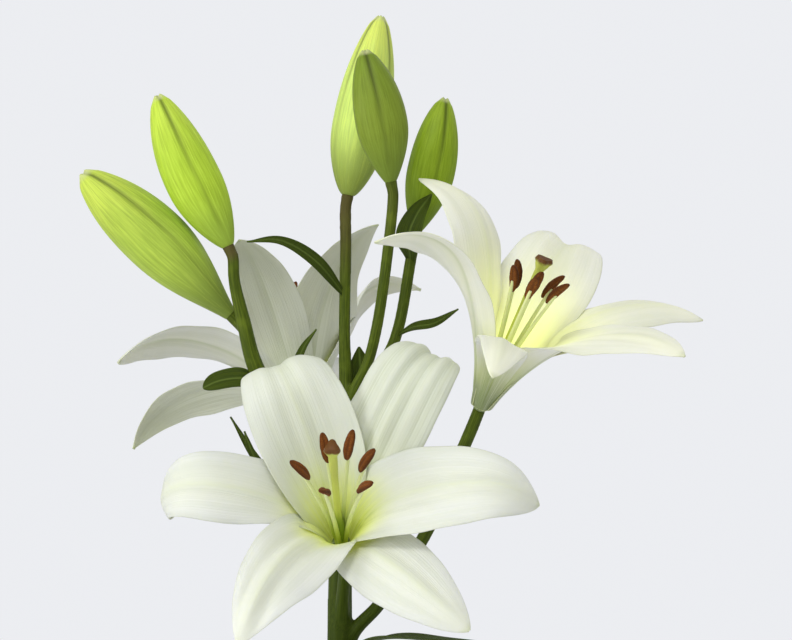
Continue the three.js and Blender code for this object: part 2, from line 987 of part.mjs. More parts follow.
// Water up to its level, with a plain hole where the stem stands.
function water() {
  const { inner } = vaseProfiles();
  const wet = inner.filter((p) => p.y < WATER_LEVEL).reverse();
  const above = inner.filter((p) => p.y >= WATER_LEVEL).at(-1);
  const share = (WATER_LEVEL - wet.at(-1).y) / (above.y - wet.at(-1).y);
  const surface = lerp(wet.at(-1).x, above.x, share);
  const edge = wet.map((p, i) => new THREE.Vector2(p.x - 2 * GAP, i ? p.y : p.y + GAP));
  const hole = Math.max(...MAIN_STEM.radii) + STEM_HOLE_CLEARANCE;
  const profile = [
    new THREE.Vector2(hole, VASE.floor + GAP),
    ...edge,
    new THREE.Vector2(surface - 2 * GAP, WATER_LEVEL),
    new THREE.Vector2(hole, WATER_LEVEL),
    new THREE.Vector2(hole, VASE.floor + GAP),
  ];
  return upright(new THREE.LatheGeometry(profile, VASE.segments));
}

// A lathe turns round Y: this stands it up on Z.
const upright = (geometry) => geometry.rotateX(Math.PI / 2);

// ---------------------------------------------------------------- the whole object

const FINISHES = {
  glaze: { color: 0xe9e7df, roughness: 0.28, metalness: 0 },
  water: { color: 0xdfe9e6, roughness: 0.05, metalness: 0, transparent: true, opacity: 0.5 },
  stem: { color: 0x4b6a24, roughness: 0.55, metalness: 0 },
  bud: { color: 0xa9cf52, roughness: 0.5, metalness: 0 },
  tepal: { color: 0xf3f3ea, roughness: 0.6, metalness: 0 },
  stamen: { color: 0xa9a24e, roughness: 0.7, metalness: 0 },
};

const lilies = new THREE.Group();
lilies.name = "lilies_in_a_vase";

function add(name, geometry, finish) {
  const mesh = new THREE.Mesh(geometry, new THREE.MeshStandardMaterial(FINISHES[finish]));
  mesh.name = name;
  lilies.add(mesh);
}

add("vase", vase(), "glaze");
add("water", water(), "water");
add("leafy_stem", leafyStem(), "stem");
for (const [name, form] of Object.entries(BUDS)) add(name, bud(form), "bud");
for (const [name, bloom] of Object.entries(BLOOMS)) {
  add(name + "_tepals", perianth(bloom), "tepal");
  add(name + "_stamens", stamensAndPistil(bloom), "stamen");
}

export default lilies;
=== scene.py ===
"""White lilies in a plain bottle vase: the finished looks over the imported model.

Lengths in the tables are millimetres, as in the part's source, and MM makes them metres. Every petal, leaf,
bud and stalk follows the same rule as its solid, in finer steps, with the folds, veins and seams that the
solid leaves out.
"""

import math

import bpy
from mathutils import Matrix, Vector, noise
from mathutils.kdtree import KDTree


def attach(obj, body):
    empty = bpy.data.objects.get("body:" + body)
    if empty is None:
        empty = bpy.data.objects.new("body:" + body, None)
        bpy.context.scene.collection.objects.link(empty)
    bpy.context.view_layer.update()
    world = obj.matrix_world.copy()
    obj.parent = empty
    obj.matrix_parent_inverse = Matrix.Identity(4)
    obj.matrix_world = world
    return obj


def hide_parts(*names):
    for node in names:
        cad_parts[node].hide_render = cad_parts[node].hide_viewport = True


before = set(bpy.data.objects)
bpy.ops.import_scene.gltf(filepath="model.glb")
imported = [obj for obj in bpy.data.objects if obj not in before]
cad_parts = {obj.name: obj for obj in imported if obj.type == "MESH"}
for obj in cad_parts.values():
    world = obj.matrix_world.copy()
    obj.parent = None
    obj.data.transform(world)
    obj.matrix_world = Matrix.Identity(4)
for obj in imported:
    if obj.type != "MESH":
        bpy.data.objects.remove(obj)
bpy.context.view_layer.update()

MM = 0.001
GAP = 0.3  # clearance between pieces that touch in the real flower

# ---------------------------------------------------------------- driving dimensions

# Radius and height: of the vase's outer wall, as in the source, and of the foot and lip that finish it.
VASE_OUTLINE = [
    (47, 0), (58, 14), (66, 48), (60, 88), (40, 126), (23, 152), (18.5, 172), (20, 188), (25, 200),
]
FOOT_RING = [(30, 2.2), (40.5, 2.2), (42, 1.2), (42.6, 0.3), (43.4, 0), (46, 0), (47.2, 0.6), (48.1, 1.8)]
LIP = [(24.9, 199.2), (24.2, 199.9), (23, 200), (21.6, 199.6)]
FOOT_TOP = 3  # from here up to the lip the wall follows its outline
LIP_BOTTOM = 199
VASE_WALL = 4.5
VASE_FLOOR = 8
VASE_STEPS = 52  # steps of the wall from foot to lip
VASE_SEGMENTS = 96
WATER_LEVEL = 128
WATER_HOLE = 6.6
WATER_SEGMENTS = 64
MENISCUS = {"width": 1.6, "height": 0.6}  # the water's raised edge at the vase and at the stem

MAIN_STEM = {
    "points": [(0, 0, 8.3), (0, 0, 150), (0, 0, 230), (-0.5, 0, 290), (-0.2, 0, 330), (0.6, 0, 362)]
    + [(2, 1.5, 396), (1.5, 5, 430), (2, 8.5, 466)],
    "radii": [6, 6, 5.9, 5.8, 5.3, 4.6, 3.3, 2.7, 2.7],
}
# Each stalk from its root towards the bloom or bud that it carries. The main stem carries bud_c.
STALKS = {
    "bud_b": {
        "points": [(0, 0, 352), (-8, -2, 372), (-24, -8, 393), (-37.5, -12, 412)]
        + [(-43.5, -13, 434), (-47.5, -13.8, 452)],
        "radii": [4.2, 4, 3.9, 3.9, 3.3, 2.7],
    },
    "bud_a": {"points": [(-42.5, -11, 430)], "radii": [3]},
    "bud_c": MAIN_STEM,
    "bud_d": {
        "points": [(1.8, 1, 390), (6, -2, 402), (11.8, -6, 414), (16.2, -10, 431), (21, -14, 464)],
        "radii": [2.8, 2.8, 2.6, 2.6, 2.6],
    },
    "bud_e": {
        "points": [(1.8, 1, 388), (8, 4, 400), (21.5, 10, 419), (26, 14, 431), (31.4, 20, 461)],
        "radii": [2.8, 2.8, 2.7, 2.7, 2.7],
    },
    "bloom_1": {"points": [(0, 0, 296), (0.8, -8, 309), (1.9, -24, 323.6)], "radii": [3.6, 3.1, 2.9]},
    "bloom_2": {
        "points": [(0, 0, 280), (6, -1, 294), (17, -3, 306), (38, -4, 338), (52.5, -5, 371)],
        "radii": [3.6, 3.3, 3, 3, 3],
    },
    "bloom_3": {"points": [(0, 0, 346), (-4, 12, 358), (-10, 31, 368)], "radii": [3.4, 3, 2.9]},
}
# How far before its bloom or bud each of a stalk's last points lies, on the axis of what it carries.
BUD_APPROACH = (5, 2.5, GAP)
BLOOM_APPROACH = (9, GAP)
BUD_SEAT_RADIUS = 2.9

# bow, seam, belly and fullness are those of the solids. skin, glow and foot: the colours of the middle, of
# the tip and of the base.
BUDS = {
    "bud_a": {
        "base": (-49.5, -6, 436.5), "tip": (-115, -14, 499), "width": 29, "bow": 0.5, "seam": 30,
        "belly": 0.52, "fullness": 1.15,
        "skin": (0.41, 0.56, 0.070), "glow": (0.58, 0.71, 0.090), "foot": (0.19, 0.26, 0.045),
    },
    "bud_b": {
        "base": (-50.2, -14.5, 467), "tip": (-81.5, -15.5, 533.5), "width": 25, "bow": -2, "seam": 14,
        "belly": 0.43, "fullness": 0.8,
        "skin": (0.45, 0.64, 0.045), "glow": (0.56, 0.74, 0.07), "foot": (0.34, 0.49, 0.055),
    },
    "bud_c": {
        "base": (2.9, 11.2, 490.5), "tip": (17.8, 13, 571), "width": 25.5, "bow": 0, "seam": 60,
        "belly": 0.38, "fullness": 0.7,
        "skin": (0.62, 0.80, 0.18), "glow": (0.70, 0.80, 0.145), "foot": (0.27, 0.35, 0.055),
    },
    "bud_d": {
        "base": (22.5, -15.2, 495.5), "tip": (11, -17, 553.5), "width": 23, "bow": 1, "seam": 2,
        "belly": 0.45, "fullness": 0.9,
        "skin": (0.21, 0.285, 0.026), "glow": (0.19, 0.275, 0.022), "foot": (0.19, 0.27, 0.032),
    },
    "bud_e": {
        "base": (34, 22.3, 474.6), "tip": (46.9, 25, 534.5), "width": 21.5, "bow": 0.3, "seam": 20,
        "belly": 0.45, "fullness": 0.9,
        "skin": (0.25, 0.37, 0.014), "glow": (0.32, 0.45, 0.025), "foot": (0.18, 0.27, 0.016),
    },
}
# foot: the base's share of a bud's width. lobe: how far the three petal backs swell. taper: how a bud
# narrows above its belly: where the taper would end, and its two powers. furrow: half the width, and the
# depth, of the line between two petals. keel: half the width in radians, and the height, of the one along
# each petal's back. points: height of the three small points at the tip.
BUD_FORM = {"foot": 0.21, "lobe": 0.05, "taper": (1.05, 2.2, 0.8), "furrow": (1.1, 0.75),
            "keel": (0.16, 0.35), "points": 1.1}

UP = Vector((0, 0, 1))
TO_VIEWER = Vector((0, -1, 0))
# Leaves and bracts of the spray. face: the direction that the upper side looks in. widest and tip: where a
# leaf is widest, and the form of its end.
LEAVES = [
    {"points": [(1.6, 6, 445), (-12.6, -7, 461.5), (-27.5, -12, 469.6), (-42, -13, 469)], "width": 6.8,
     "face": (0.2, -0.9, 0.4), "widest": 0.35},
    {"points": [(25.6, 12, 427), (32, 6, 430.5), (42, 4, 432.5), (53, 5, 439)], "width": 6,
     "face": (-0.2, -0.7, 0.7)},
    {"points": [(31.5, 19, 461), (30.5, 9, 472), (34.5, 6, 482), (41, 7, 491)], "width": 12,
     "face": (-0.3, -0.9, 0.1)},
    {"points": [(-22, -7, 390), (-21, -8, 408), (-17, -9, 421), (-10.8, -9, 430)], "width": 5,
     "face": (-0.5, -0.8, 0)},
    {"points": [(-35, -11, 407), (-46, -13, 408), (-55, -14, 406.5), (-61.5, -14, 403.5)], "width": 10,
     "face": (0, -0.9, 0.45), "tip": (3, 0.6)},
    {"points": [(0, 2, 338), (-20, 7, 352), (-36, 7, 368), (-50, 4, 390.5)], "width": 5, "face": TO_VIEWER},
    {"points": [(-31, 7, 362), (-39, 2, 372), (-43.5, 0, 384)], "width": 3.6, "face": TO_VIEWER},
    {"points": [(3, 3, 378), (6, 8, 396), (8.5, 10, 408), (8, 11, 422)], "width": 18, "face": TO_VIEWER},
    {"points": [(2, -2, 282), (17, -16, 291.5), (42, -28, 292), (70, -34, 288.5), (88, -34, 276)],
     "width": 15, "face": UP},
]
# root: the root's share of the width. hollow: its depth as a share of half the width. wave: height of the
# waved edge as a share of the width. margin: the margins' share of the thickness.
LEAF_FORM = {"root": 0.35, "widest": 0.45, "tip": (1.75, 0.85), "least_half": 0.45, "hollow": 0.22,
             "wave": 0.035, "thickness": 0.75, "margin": 0.5}
# Stem leaves between the vase's lip and the photo's lower edge. drift: radians that a leaf turns round the
# stem at each step. rise and fall: degrees above level at which a leaf leaves the stem and ends.
SPIRAL = {"count": 9, "lowest": 214, "highest": 262, "turn": 137.5, "start": 200, "drift": 0.08, "root": 3,
          "length": 82, "length_change": 14, "length_step": 2.4, "width": 14, "rise": 48, "fall": -38,
          "steps": 4}

# The inner petals are broader and stand in front of the outer ones. start: how far from the axis a petal
# starts. fold: how far its margins fall back. ripple: height of their waves. tube: between these shares of
# its length a petal leaves the curve of the bloom's tube.
INNER = {"width": 45, "root": 0.22, "widest": 0.5, "start": 3.4, "fold": -0.16, "ripple": 1.6,
         "tube": (0.3, 0.75)}
OUTER = {"width": 38, "root": 0.28, "widest": 0.47, "start": 4.2, "fold": -0.24, "ripple": 1.1,
         "tube": (0.2, 0.55)}
# margin: the margins' share of the thickness. foot: height of the root above the bloom's seat. ripples:
# radians of wave along the two margins. groove_from, waist_up_to and twist_from: shares of the length between
# which a groove deepens and a waist widens, and from which a blade twists. crowding: how much more the steps
# crowd towards the root than a sine would. ridge and pleats: those of a petal that has none of its own.
PETAL_FORM = {"thickness": 0.95, "margin": 0.45, "foot": 1, "least_half": 0.8, "ripples": (9, 8),
              "groove_reach": 4.5, "groove_from": (0.45, 0.8), "waist_up_to": (0.25, 0.65),
              "twist_from": 0.15, "crowding": 1.1, "ridge": 0.6, "pleats": (5, 0.15)}
# The tip of a blade: the first number keeps it wide for longer, the second one rounds it off.
ROUND_TIP = (2, 0.68)
SLENDER_TIP = (1.75, 0.85)
CORE = {"bottom": 2.9, "top": 4.6, "height": 5}

# turn, open, curl, sway, twist, wide, spread, waist, groove and tip are those of the solids. ridge: height of
# the raised midrib. pleats: how many lengthwise folds cross the petal and how high they are. painted_shade:
# how far the skin takes the painted shade of a fold all over, 0 to 1. stamens: degrees round the bloom's axis
# and away from it.
# face and back: the colours of the two sides; bloom_2's are partly painted light, set brighter for the light
# that passes through its petals. glow_reach: share of the length that the throat's glow covers. painted_glow:
# a painted glow that the throat gives off, for the light that passes through it.
BLOOMS = {
    "bloom_1": {
        "seat": (1, -42, 334.5),
        "axis": (-0.044, -0.861, 0.507),
        "petals": [
            {"kind": INNER, "turn": -26, "open": (12, 46, 98), "curl": (115, 0.56), "sway": 3, "length": 124,
             "groove": 3, "pleats": (5, 0.3), "painted_shade": 0.3},
            {"kind": OUTER, "turn": 37, "open": (12, 54, 92), "curl": (105, 0.6), "sway": -9, "length": 132,
             "wide": 1.1, "spread": (1, 0.88), "groove": 4, "tip": (2.6, 0.62), "pleats": (4.6, 1.1),
             "painted_shade": 0.6},
            {"kind": INNER, "turn": 89, "open": (12, 47, 112), "curl": (42, 0.72), "sway": 8, "length": 122,
             "spread": (0.95, 0.92), "ridge": 1.3},
            {"kind": OUTER, "turn": 147, "open": (13, 60, 110), "sway": -17, "length": 107, "wide": 0.94},
            {"kind": INNER, "turn": 220, "open": (14, 43, 114), "sway": -23, "length": 112, "wide": 0.96,
             "spread": (1, 0.76), "tip": SLENDER_TIP, "ridge": 2.0},
            {"kind": OUTER, "turn": 270, "open": (9, 58, 124), "curl": (81, 0.56), "sway": 3, "length": 124,
             "wide": 0.91, "spread": (0.94, 1.09), "waist": (0.6, 1), "twist": -14},
        ],
        "stamens": [(277, 11), (343, 9.8), (25, 12.1), (65, 12.2), (115, 11.8), (199, 7.3)],
        "pistil": {"length": 78, "lean": (0.3, 4.5), "stigma": 3.3},
        "face": {"flesh": (0.80, 0.815, 0.75), "throat": (0.30, 0.38, 0.02), "glow": (0.84, 0.90, 0.26),
                 "glow_reach": 0.42, "nectar": (0.30, 0.42, 0.05), "painted_glow": (0.12, 0.13, 0.012)},
        "back": {"flesh": (0.72, 0.73, 0.65), "glow": (0.36, 0.44, 0.13)},
    },
    "bloom_2": {
        "seat": (62, -12, 394),
        "axis": (0.35, -0.274, 0.896),
        "petals": [
            {"kind": OUTER, "turn": -2, "open": (10, 20, 62), "curl": (50, 0.55), "sway": -7, "length": 121,
             "wide": 1.05, "waist": (1, 0.4)},
            {"kind": INNER, "turn": 67, "open": (13, 47, 78), "curl": (60, 0.62), "sway": -7, "length": 126,
             "spread": (0.9, 1.05), "groove": 4.5},
            {"kind": OUTER, "turn": 118, "open": (17, 31, 106), "sway": 8, "length": 117},
            {"kind": INNER, "turn": 173, "open": (19, 36, 96), "sway": 4, "length": 114, "twist": 25,
             "spread": (0.9, 0.9), "tip": (1.9, 0.8)},
            {"kind": OUTER, "turn": 242, "open": (16, 56, 122), "sway": -10, "length": 109,
             "spread": (0.68, 0.6)},
            {"kind": INNER, "turn": 300, "open": (15, 28, 82), "curl": (42, 0.5), "sway": -10, "length": 121,
             "twist": 40, "wide": 0.95, "spread": (0.6, 1)},
        ],
        "stamens": [(268, 10.1), (261, 14.6), (232, 15.8), (226, 11), (191, 14.4), (187, 10)],
        "pistil": {"length": 71, "lean": (-1.2, -3.3), "stigma": 3.8},
        # brighter flesh, throat and glow: partly painted light, for the light that passes through these
        # petals
        "face": {"flesh": (0.92, 0.92, 0.775), "throat": (0.88, 0.94, 0.16), "glow": (0.99, 0.99, 0.46),
                 "glow_reach": 0.66, "nectar": (0.72, 0.84, 0.12), "painted_glow": (0.30, 0.32, 0.12)},
        "back": {"flesh": (0.97, 0.965, 0.88), "glow": (0.60, 0.66, 0.28)},
    },
    "bloom_3": {
        "seat": (-16.5, 48, 384),
        "axis": (-0.206, 0.509, 0.836),
        "petals": [
            {"kind": OUTER, "turn": 29, "open": (12, 52, 117), "sway": 3, "length": 116, "wide": 0.9,
             "spread": (0.88, 0.95), "tip": SLENDER_TIP, "painted_shade": 0.6},
            {"kind": INNER, "turn": 90, "open": (10, 56, 136), "sway": -1, "length": 110, "wide": 0.6,
             "tip": (3, 0.6)},
            {"kind": OUTER, "turn": 138, "open": (15, 62, 140), "sway": -4, "length": 109, "twist": 15,
             "wide": 0.78, "tip": SLENDER_TIP, "painted_shade": 0.9},
            {"kind": INNER, "turn": 208, "open": (12, 50, 115), "sway": 0, "length": 108},
            {"kind": OUTER, "turn": 280, "open": (24, 22, 52), "curl": (66, 0.62), "sway": -7, "length": 111,
             "twist": -15, "wide": 0.62, "tip": SLENDER_TIP},
            {"kind": INNER, "turn": 338, "open": (12, 39, 117), "sway": 14, "length": 115,
             "spread": (0.55, 0.72), "waist": (3, 1), "tip": SLENDER_TIP, "painted_shade": 0.55},
        ],
        "stamens": [(20 + 60 * i, 6) for i in range(6)],
        "pistil": {"length": 75, "lean": (0, 3), "stigma": 3.8},
        "face": {"flesh": (0.80, 0.81, 0.74), "throat": (0.2, 0.28, 0.02), "glow": (0.66, 0.74, 0.2),
                 "glow_reach": 0.4, "nectar": (0.30, 0.42, 0.05), "painted_glow": (0.15, 0.17, 0.012)},
        "back": {"flesh": (0.78, 0.78, 0.72), "glow": (0.36, 0.44, 0.13)},
    },
}

# What the petals of all blooms share. stripe: how strongly the rib's colour shows along the midrib.
FACE_TINTS = {"rib": (0.50, 0.60, 0.16), "tip": (0.56, 0.60, 0.36), "stripe": 0.16}
BACK_TINTS = {"throat": (0.14, 0.20, 0.03), "glow_reach": 0.44, "rib": (0.34, 0.42, 0.15),
              "tip": (0.45, 0.52, 0.25), "stripe": 0.4, "nectar": (0.24, 0.33, 0.06), "painted_glow": (0.0, 0.0, 0.0)}

# arch: above 1 a filament leaves the axis slowly at first. knots: shares of the length at which its curve is
# set. tilt: degrees that an anther leans further than its filament. balance: where along its length it is
# held. bow: how far its middle bends back. flat: how much of its full radius it has across and through.
FILAMENT = {"length": 61, "radius": 1.2, "tip": 0.75, "start": 1.9, "arch": 1.3, "knots": (0, 0.35, 0.7, 1),
            "steps": 24}
ANTHER = {"length": 16, "width": 4.8, "tilt": 14, "balance": 0.42, "bow": 0.9, "flat": (0.86, 0.62),
          "fullness": 1.1}
# hollow: how far the middle of the stigma sinks.
PISTIL = {"ovary_length": 20, "ovary": 2.4, "style": 1.5, "neck": 1.95, "hollow": 1.2}
# filament and pistil: how far up from the base's underside they start.
STAMEN_BASE = {"radius": 3, "height": 2.5, "filament": 1, "pistil": 0.5}
STAMEN_FOOT = CORE["height"] + GAP

# ---------------------------------------------------------------- small helpers


def smooth(x, low, high):
    """Rises softly from 0 at low to 1 at high."""
    t = min(max((x - low) / (high - low), 0), 1)
    return t * t * (3 - 2 * t)


def mix(a, b, t):
    return a + (b - a) * t


def hill(x, width):
    """1 at x = 0, falling away softly on both sides."""
    return math.exp(-((x / width) ** 2))


def lumps(x, y, z):
    """Soft noise about 0, at a place of its own."""
    return noise.noise(Vector((x, y, z)))


def bend(values, t):
    """From the first of three values to the last, drawn towards the middle one."""
    a, b, c = values
    return (1 - t) ** 2 * a + 2 * t * (1 - t) * b + t * t * c


def value_at(values, t):
    """The value at t (0 to 1) of a list of evenly spaced values."""
    place = t * (len(values) - 1)
    i = min(int(place), len(values) - 2)
    return mix(values[i], values[i + 1], place - i)


def outline(s, root, widest, tip):
    """Share of the full width at s along a petal or leaf: a narrow root, the widest part and the tip."""
    if s < widest:
        return root + (1 - root) * math.sin(math.pi / 2 * s / widest) ** 1.25
    return (1 - min((s - widest) / (1 - widest), 1) ** tip[0]) ** tip[1]


class Way:
    """A smooth curve through points, read by the share of its length."""

    FINENESS = 24  # samples from one point to the next

    def __init__(self, points):
        knots = [Vector(p) for p in points]
        ends = [2 * knots[0] - knots[1], *knots, 2 * knots[-1] - knots[-2]]
        self.points = []
        for p0, p1, p2, p3 in zip(ends, ends[1:], ends[2:], ends[3:]):
            d0, d1, d2 = (math.sqrt((b - a).length) for a, b in ((p0, p1), (p1, p2), (p2, p3)))
            leave = ((p1 - p0) / d0 - (p2 - p0) / (d0 + d1) + (p2 - p1) / d1) * d1
            reach = ((p2 - p1) / d1 - (p3 - p1) / (d1 + d2) + (p3 - p2) / d2) * d1
            for k in range(self.FINENESS):
                t = k / self.FINENESS
                square = 3 * (p2 - p1) - 2 * leave - reach
                cube = 2 * (p1 - p2) + leave + reach
                self.points.append(p1 + leave * t + square * t * t + cube * t**3)
        self.points.append(knots[-1])
        self.lengths = [0]
        for a, b in zip(self.points, self.points[1:]):
            self.lengths.append(self.lengths[-1] + (b - a).length)

    def at(self, share):
        """The point and the direction at a share of the length."""
        wanted = share * self.lengths[-1]
        i = 0
        while i < len(self.points) - 2 and self.lengths[i + 1] < wanted:
            i += 1
        step = self.points[i + 1] - self.points[i]
        part = (wanted - self.lengths[i]) / (self.lengths[i + 1] - self.lengths[i])
        return self.points[i] + step * part, step.normalized()


def alone(piece):
    """Selects one piece and nothing else."""
    bpy.ops.object.select_all(action="DESELECT")
    piece.select_set(True)
    bpy.context.view_layer.objects.active = piece


def modify(piece, kind, **settings):
    """Adds a modifier and applies it at once."""
    alone(piece)
    modifier = piece.modifiers.new(kind.title(), kind)
    for key, value in settings.items():
        setattr(modifier, key, value)
    bpy.ops.object.modifier_apply(modifier=modifier.name)


def join(pieces):
    """One piece of several."""
    alone(pieces[0])
    for piece in pieces:
        piece.select_set(True)
    bpy.ops.object.join()
    return pieces[0]


def note(piece, name, values, kind="FLOAT"):
    """Keeps one value per vertex, for the materials to read."""
    attribute = piece.data.attributes.new(name, kind, "POINT")
    field = "vector" if kind == "FLOAT_VECTOR" else "value"
    attribute.data.foreach_set(field, [x for v in values for x in v] if kind == "FLOAT_VECTOR" else values)


def hand_in(piece, name, slot, node, *materials):
    """Names a finished piece, paints it, hangs it under the root and hides the model's part that it stands
    for.
    """
    piece.name = piece.data.name = name
    for material in materials:
        piece.data.materials.append(material)
    alone(piece)
    bpy.ops.object.shade_smooth()
    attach(piece, "root")
    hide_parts(node)
    return piece


def flip(piece):
    """Turns the faces of a closed piece outwards."""
    alone(piece)
    bpy.ops.object.mode_set(mode="EDIT")
    bpy.ops.mesh.select_all(action="SELECT")
    bpy.ops.mesh.normals_make_consistent(inside=False)
    bpy.ops.object.mode_set(mode="OBJECT")


def tube(points, radii):
    """A round stalk along points, thickened by its radii."""
    bpy.ops.object.select_all(action="DESELECT")
    bpy.ops.curve.primitive_nurbs_path_add()
    path = bpy.context.object
    path.data.splines.clear()
    spline = path.data.splines.new("POLY")
    spline.points.add(len(points) - 1)
    for knot, point, radius in zip(spline.points, points, radii):
        knot.co = (*(point * MM), 1)
        knot.radius = radius * MM
    path.data.bevel_depth = 1
    path.data.bevel_resolution = 3
    path.data.use_fill_caps = True
    alone(path)
    bpy.ops.object.convert(target="MESH")
    return path


def round_body(segments, rings, rule):
    """A ball whose points are moved by a rule of angle, share of the height, and 0 at the poles or else 1."""
    bpy.ops.object.select_all(action="DESELECT")
    bpy.ops.mesh.primitive_uv_sphere_add(segments=segments, ring_count=rings, radius=1)
    body = bpy.context.object
    for vertex in body.data.vertices:
        x, y, z = vertex.co
        vertex.co = rule(math.atan2(y, x), (z + 1) / 2, float(math.hypot(x, y) > 1e-4)) * MM
    return body


def blade(across, along, rule, thickness, thin, skins):
    """A thin blade with one skin on each side. thin: the margins' share of its thickness.

    The rule turns u (-1 to 1 across) and t (0 to 1 along) into a point, its distance from the midrib, its
    share of the length and how much painted shade it takes, as deep in a fold or over all of a petal.
    """
    bpy.ops.object.select_all(action="DESELECT")
    bpy.ops.mesh.primitive_grid_add(x_subdivisions=across, y_subdivisions=along, size=2)
    sheet = bpy.context.object
    for skin in skins:
        sheet.data.materials.append(skin)
    reach, valleys, body, places = [], [], sheet.vertex_groups.new(name="body"), []
    for vertex in sheet.data.vertices:
        u, t = vertex.co.x, (vertex.co.y + 1) / 2
        point, away, share, low = rule(u, t)
        vertex.co = point * MM
        reach.append(away)
        valleys.append(low)
        places.append(((u + 1) / 2, share))
        body.add([vertex.index], 1 - abs(u) ** 3, "REPLACE")
    uv = sheet.data.uv_layers.active.data
    for loop in sheet.data.loops:
        uv[loop.index].uv = places[loop.vertex_index]
    note(sheet, "reach", reach)
    # how much painted shade each point takes, for the petal skins
    note(sheet, "valley", valleys)
    modify(sheet, "SOLIDIFY", thickness=thickness * MM, offset=0, vertex_group="body",
           thickness_vertex_group=thin, material_offset=1, use_quality_normals=True)
    modify(sheet, "SUBSURF", levels=1, render_levels=1)
    return sheet


# ---------------------------------------------------------------- materials


def tint(colour, *shares):
    """A colour with its channels scaled, by one share for all three or by one for each."""
    return tuple(c * k for c, k in zip(colour, shares if len(shares) == 3 else shares * 3))


class Shade:
    """What changes over a surface, at the end of a node. Python's sums on a number add Math nodes."""

    def __init__(self, paint, socket):
        self.paint, self.socket = paint, socket

    def __add__(self, other):
        return self.paint.maths("ADD", self, other)

    def __sub__(self, other):
        return self.paint.maths("SUBTRACT", self, other)

    def __rsub__(self, other):
        return self.paint.maths("SUBTRACT", other, self)

    def __mul__(self, other):
        return self.paint.maths("MULTIPLY", self, other)

    __radd__ = __add__
    __rmul__ = __mul__


class Paint:
    """A material in the making."""

    def __init__(self, name, **constants):
        self.material = bpy.data.materials.new(name)
        self.material.use_nodes = True
        self.tree = self.material.node_tree
        self.shader = self.tree.nodes["Principled BSDF"]
        for socket, value in constants.items():
            self.shader.inputs[socket.replace("_", " ")].default_value = value

    def node(self, kind, inputs, output=0, **settings):
        """Adds one node: its settings first, then the values or links of its sockets."""
        made = self.tree.nodes.new("ShaderNode" + kind)
        for key, value in settings.items():
            setattr(made, key, value)
        for key, value in inputs.items():
            if isinstance(value, Shade):
                self.tree.links.new(value.socket, made.inputs[key])
            else:
                made.inputs[key].default_value = value
        return Shade(self, made.outputs[output])

    def maths(self, operation, *values):
        return self.node("Math", dict(enumerate(values)), operation=operation)

    def rise(self, value, low, high):
        """Rises softly from 0 at low to 1 at high."""
        return self.node("MapRange", {0: value, 1: low, 2: high}, interpolation_type="SMOOTHSTEP")

    def hill(self, value, sharpness):
        """1 where the value is 0, falling away softly on both sides."""
        return self.maths("EXPONENT", value * value * -sharpness)

    def blend(self, factor, a, b):
        """Colour a where the factor is 0 and b where it is 1. Colours are given as three numbers."""
        a, b = ((*c, 1) if isinstance(c, tuple) else c for c in (a, b))
        return self.node("Mix", {0: factor, 6: a, 7: b}, output=2, data_type="RGBA")

    def attribute(self, name, output=2):
        """What note() kept: output 2 is a number, 1 is a vector."""
        return self.node("Attribute", {}, output=output, attribute_name=name)

    def position(self):
        """The place on the object, in metres."""
        return self.node("TexCoord", {}, output=3)

    def stretched(self, vector, x, y, z):
        return self.node("VectorMath", {0: vector, 1: (x, y, z)}, operation="MULTIPLY")

    def grain(self, vector, scale, detail=2.0, roughness=0.5):
        return self.node(
            "TexNoise", {"Vector": vector, "Scale": scale, "Detail": detail, "Roughness": roughness}
        )

    def parts(self, vector):
        """The three numbers of a vector."""
        return [self.node("SeparateXYZ", {0: vector}, output=i) for i in range(3)]

    def feed(self, socket, value):
        """Links what changes over the surface to one of the shader's sockets."""
        self.tree.links.new(value.socket, self.shader.inputs[socket])

    def finish(self, colour, roughness, height, depth):
        """Feeds the shader. height (about 0 to 1) stands depth millimetres proud."""
        self.feed("Base Color", colour)
        self.feed("Roughness", roughness)
        self.feed("Normal", self.node("Bump", {"Height": height, "Distance": depth * MM, "Strength": 1.0}))
        return self.material


def veins(paint, across, along):
    """Parallel veins of a petal or leaf, which come and go and wander a little."""
    place = paint.node("UVMap", {})
    coarse = paint.grain(paint.stretched(place, across, along, 1), 1.0, 3.0, 0.65)
    return paint.rise(coarse, 0.34, 0.66)


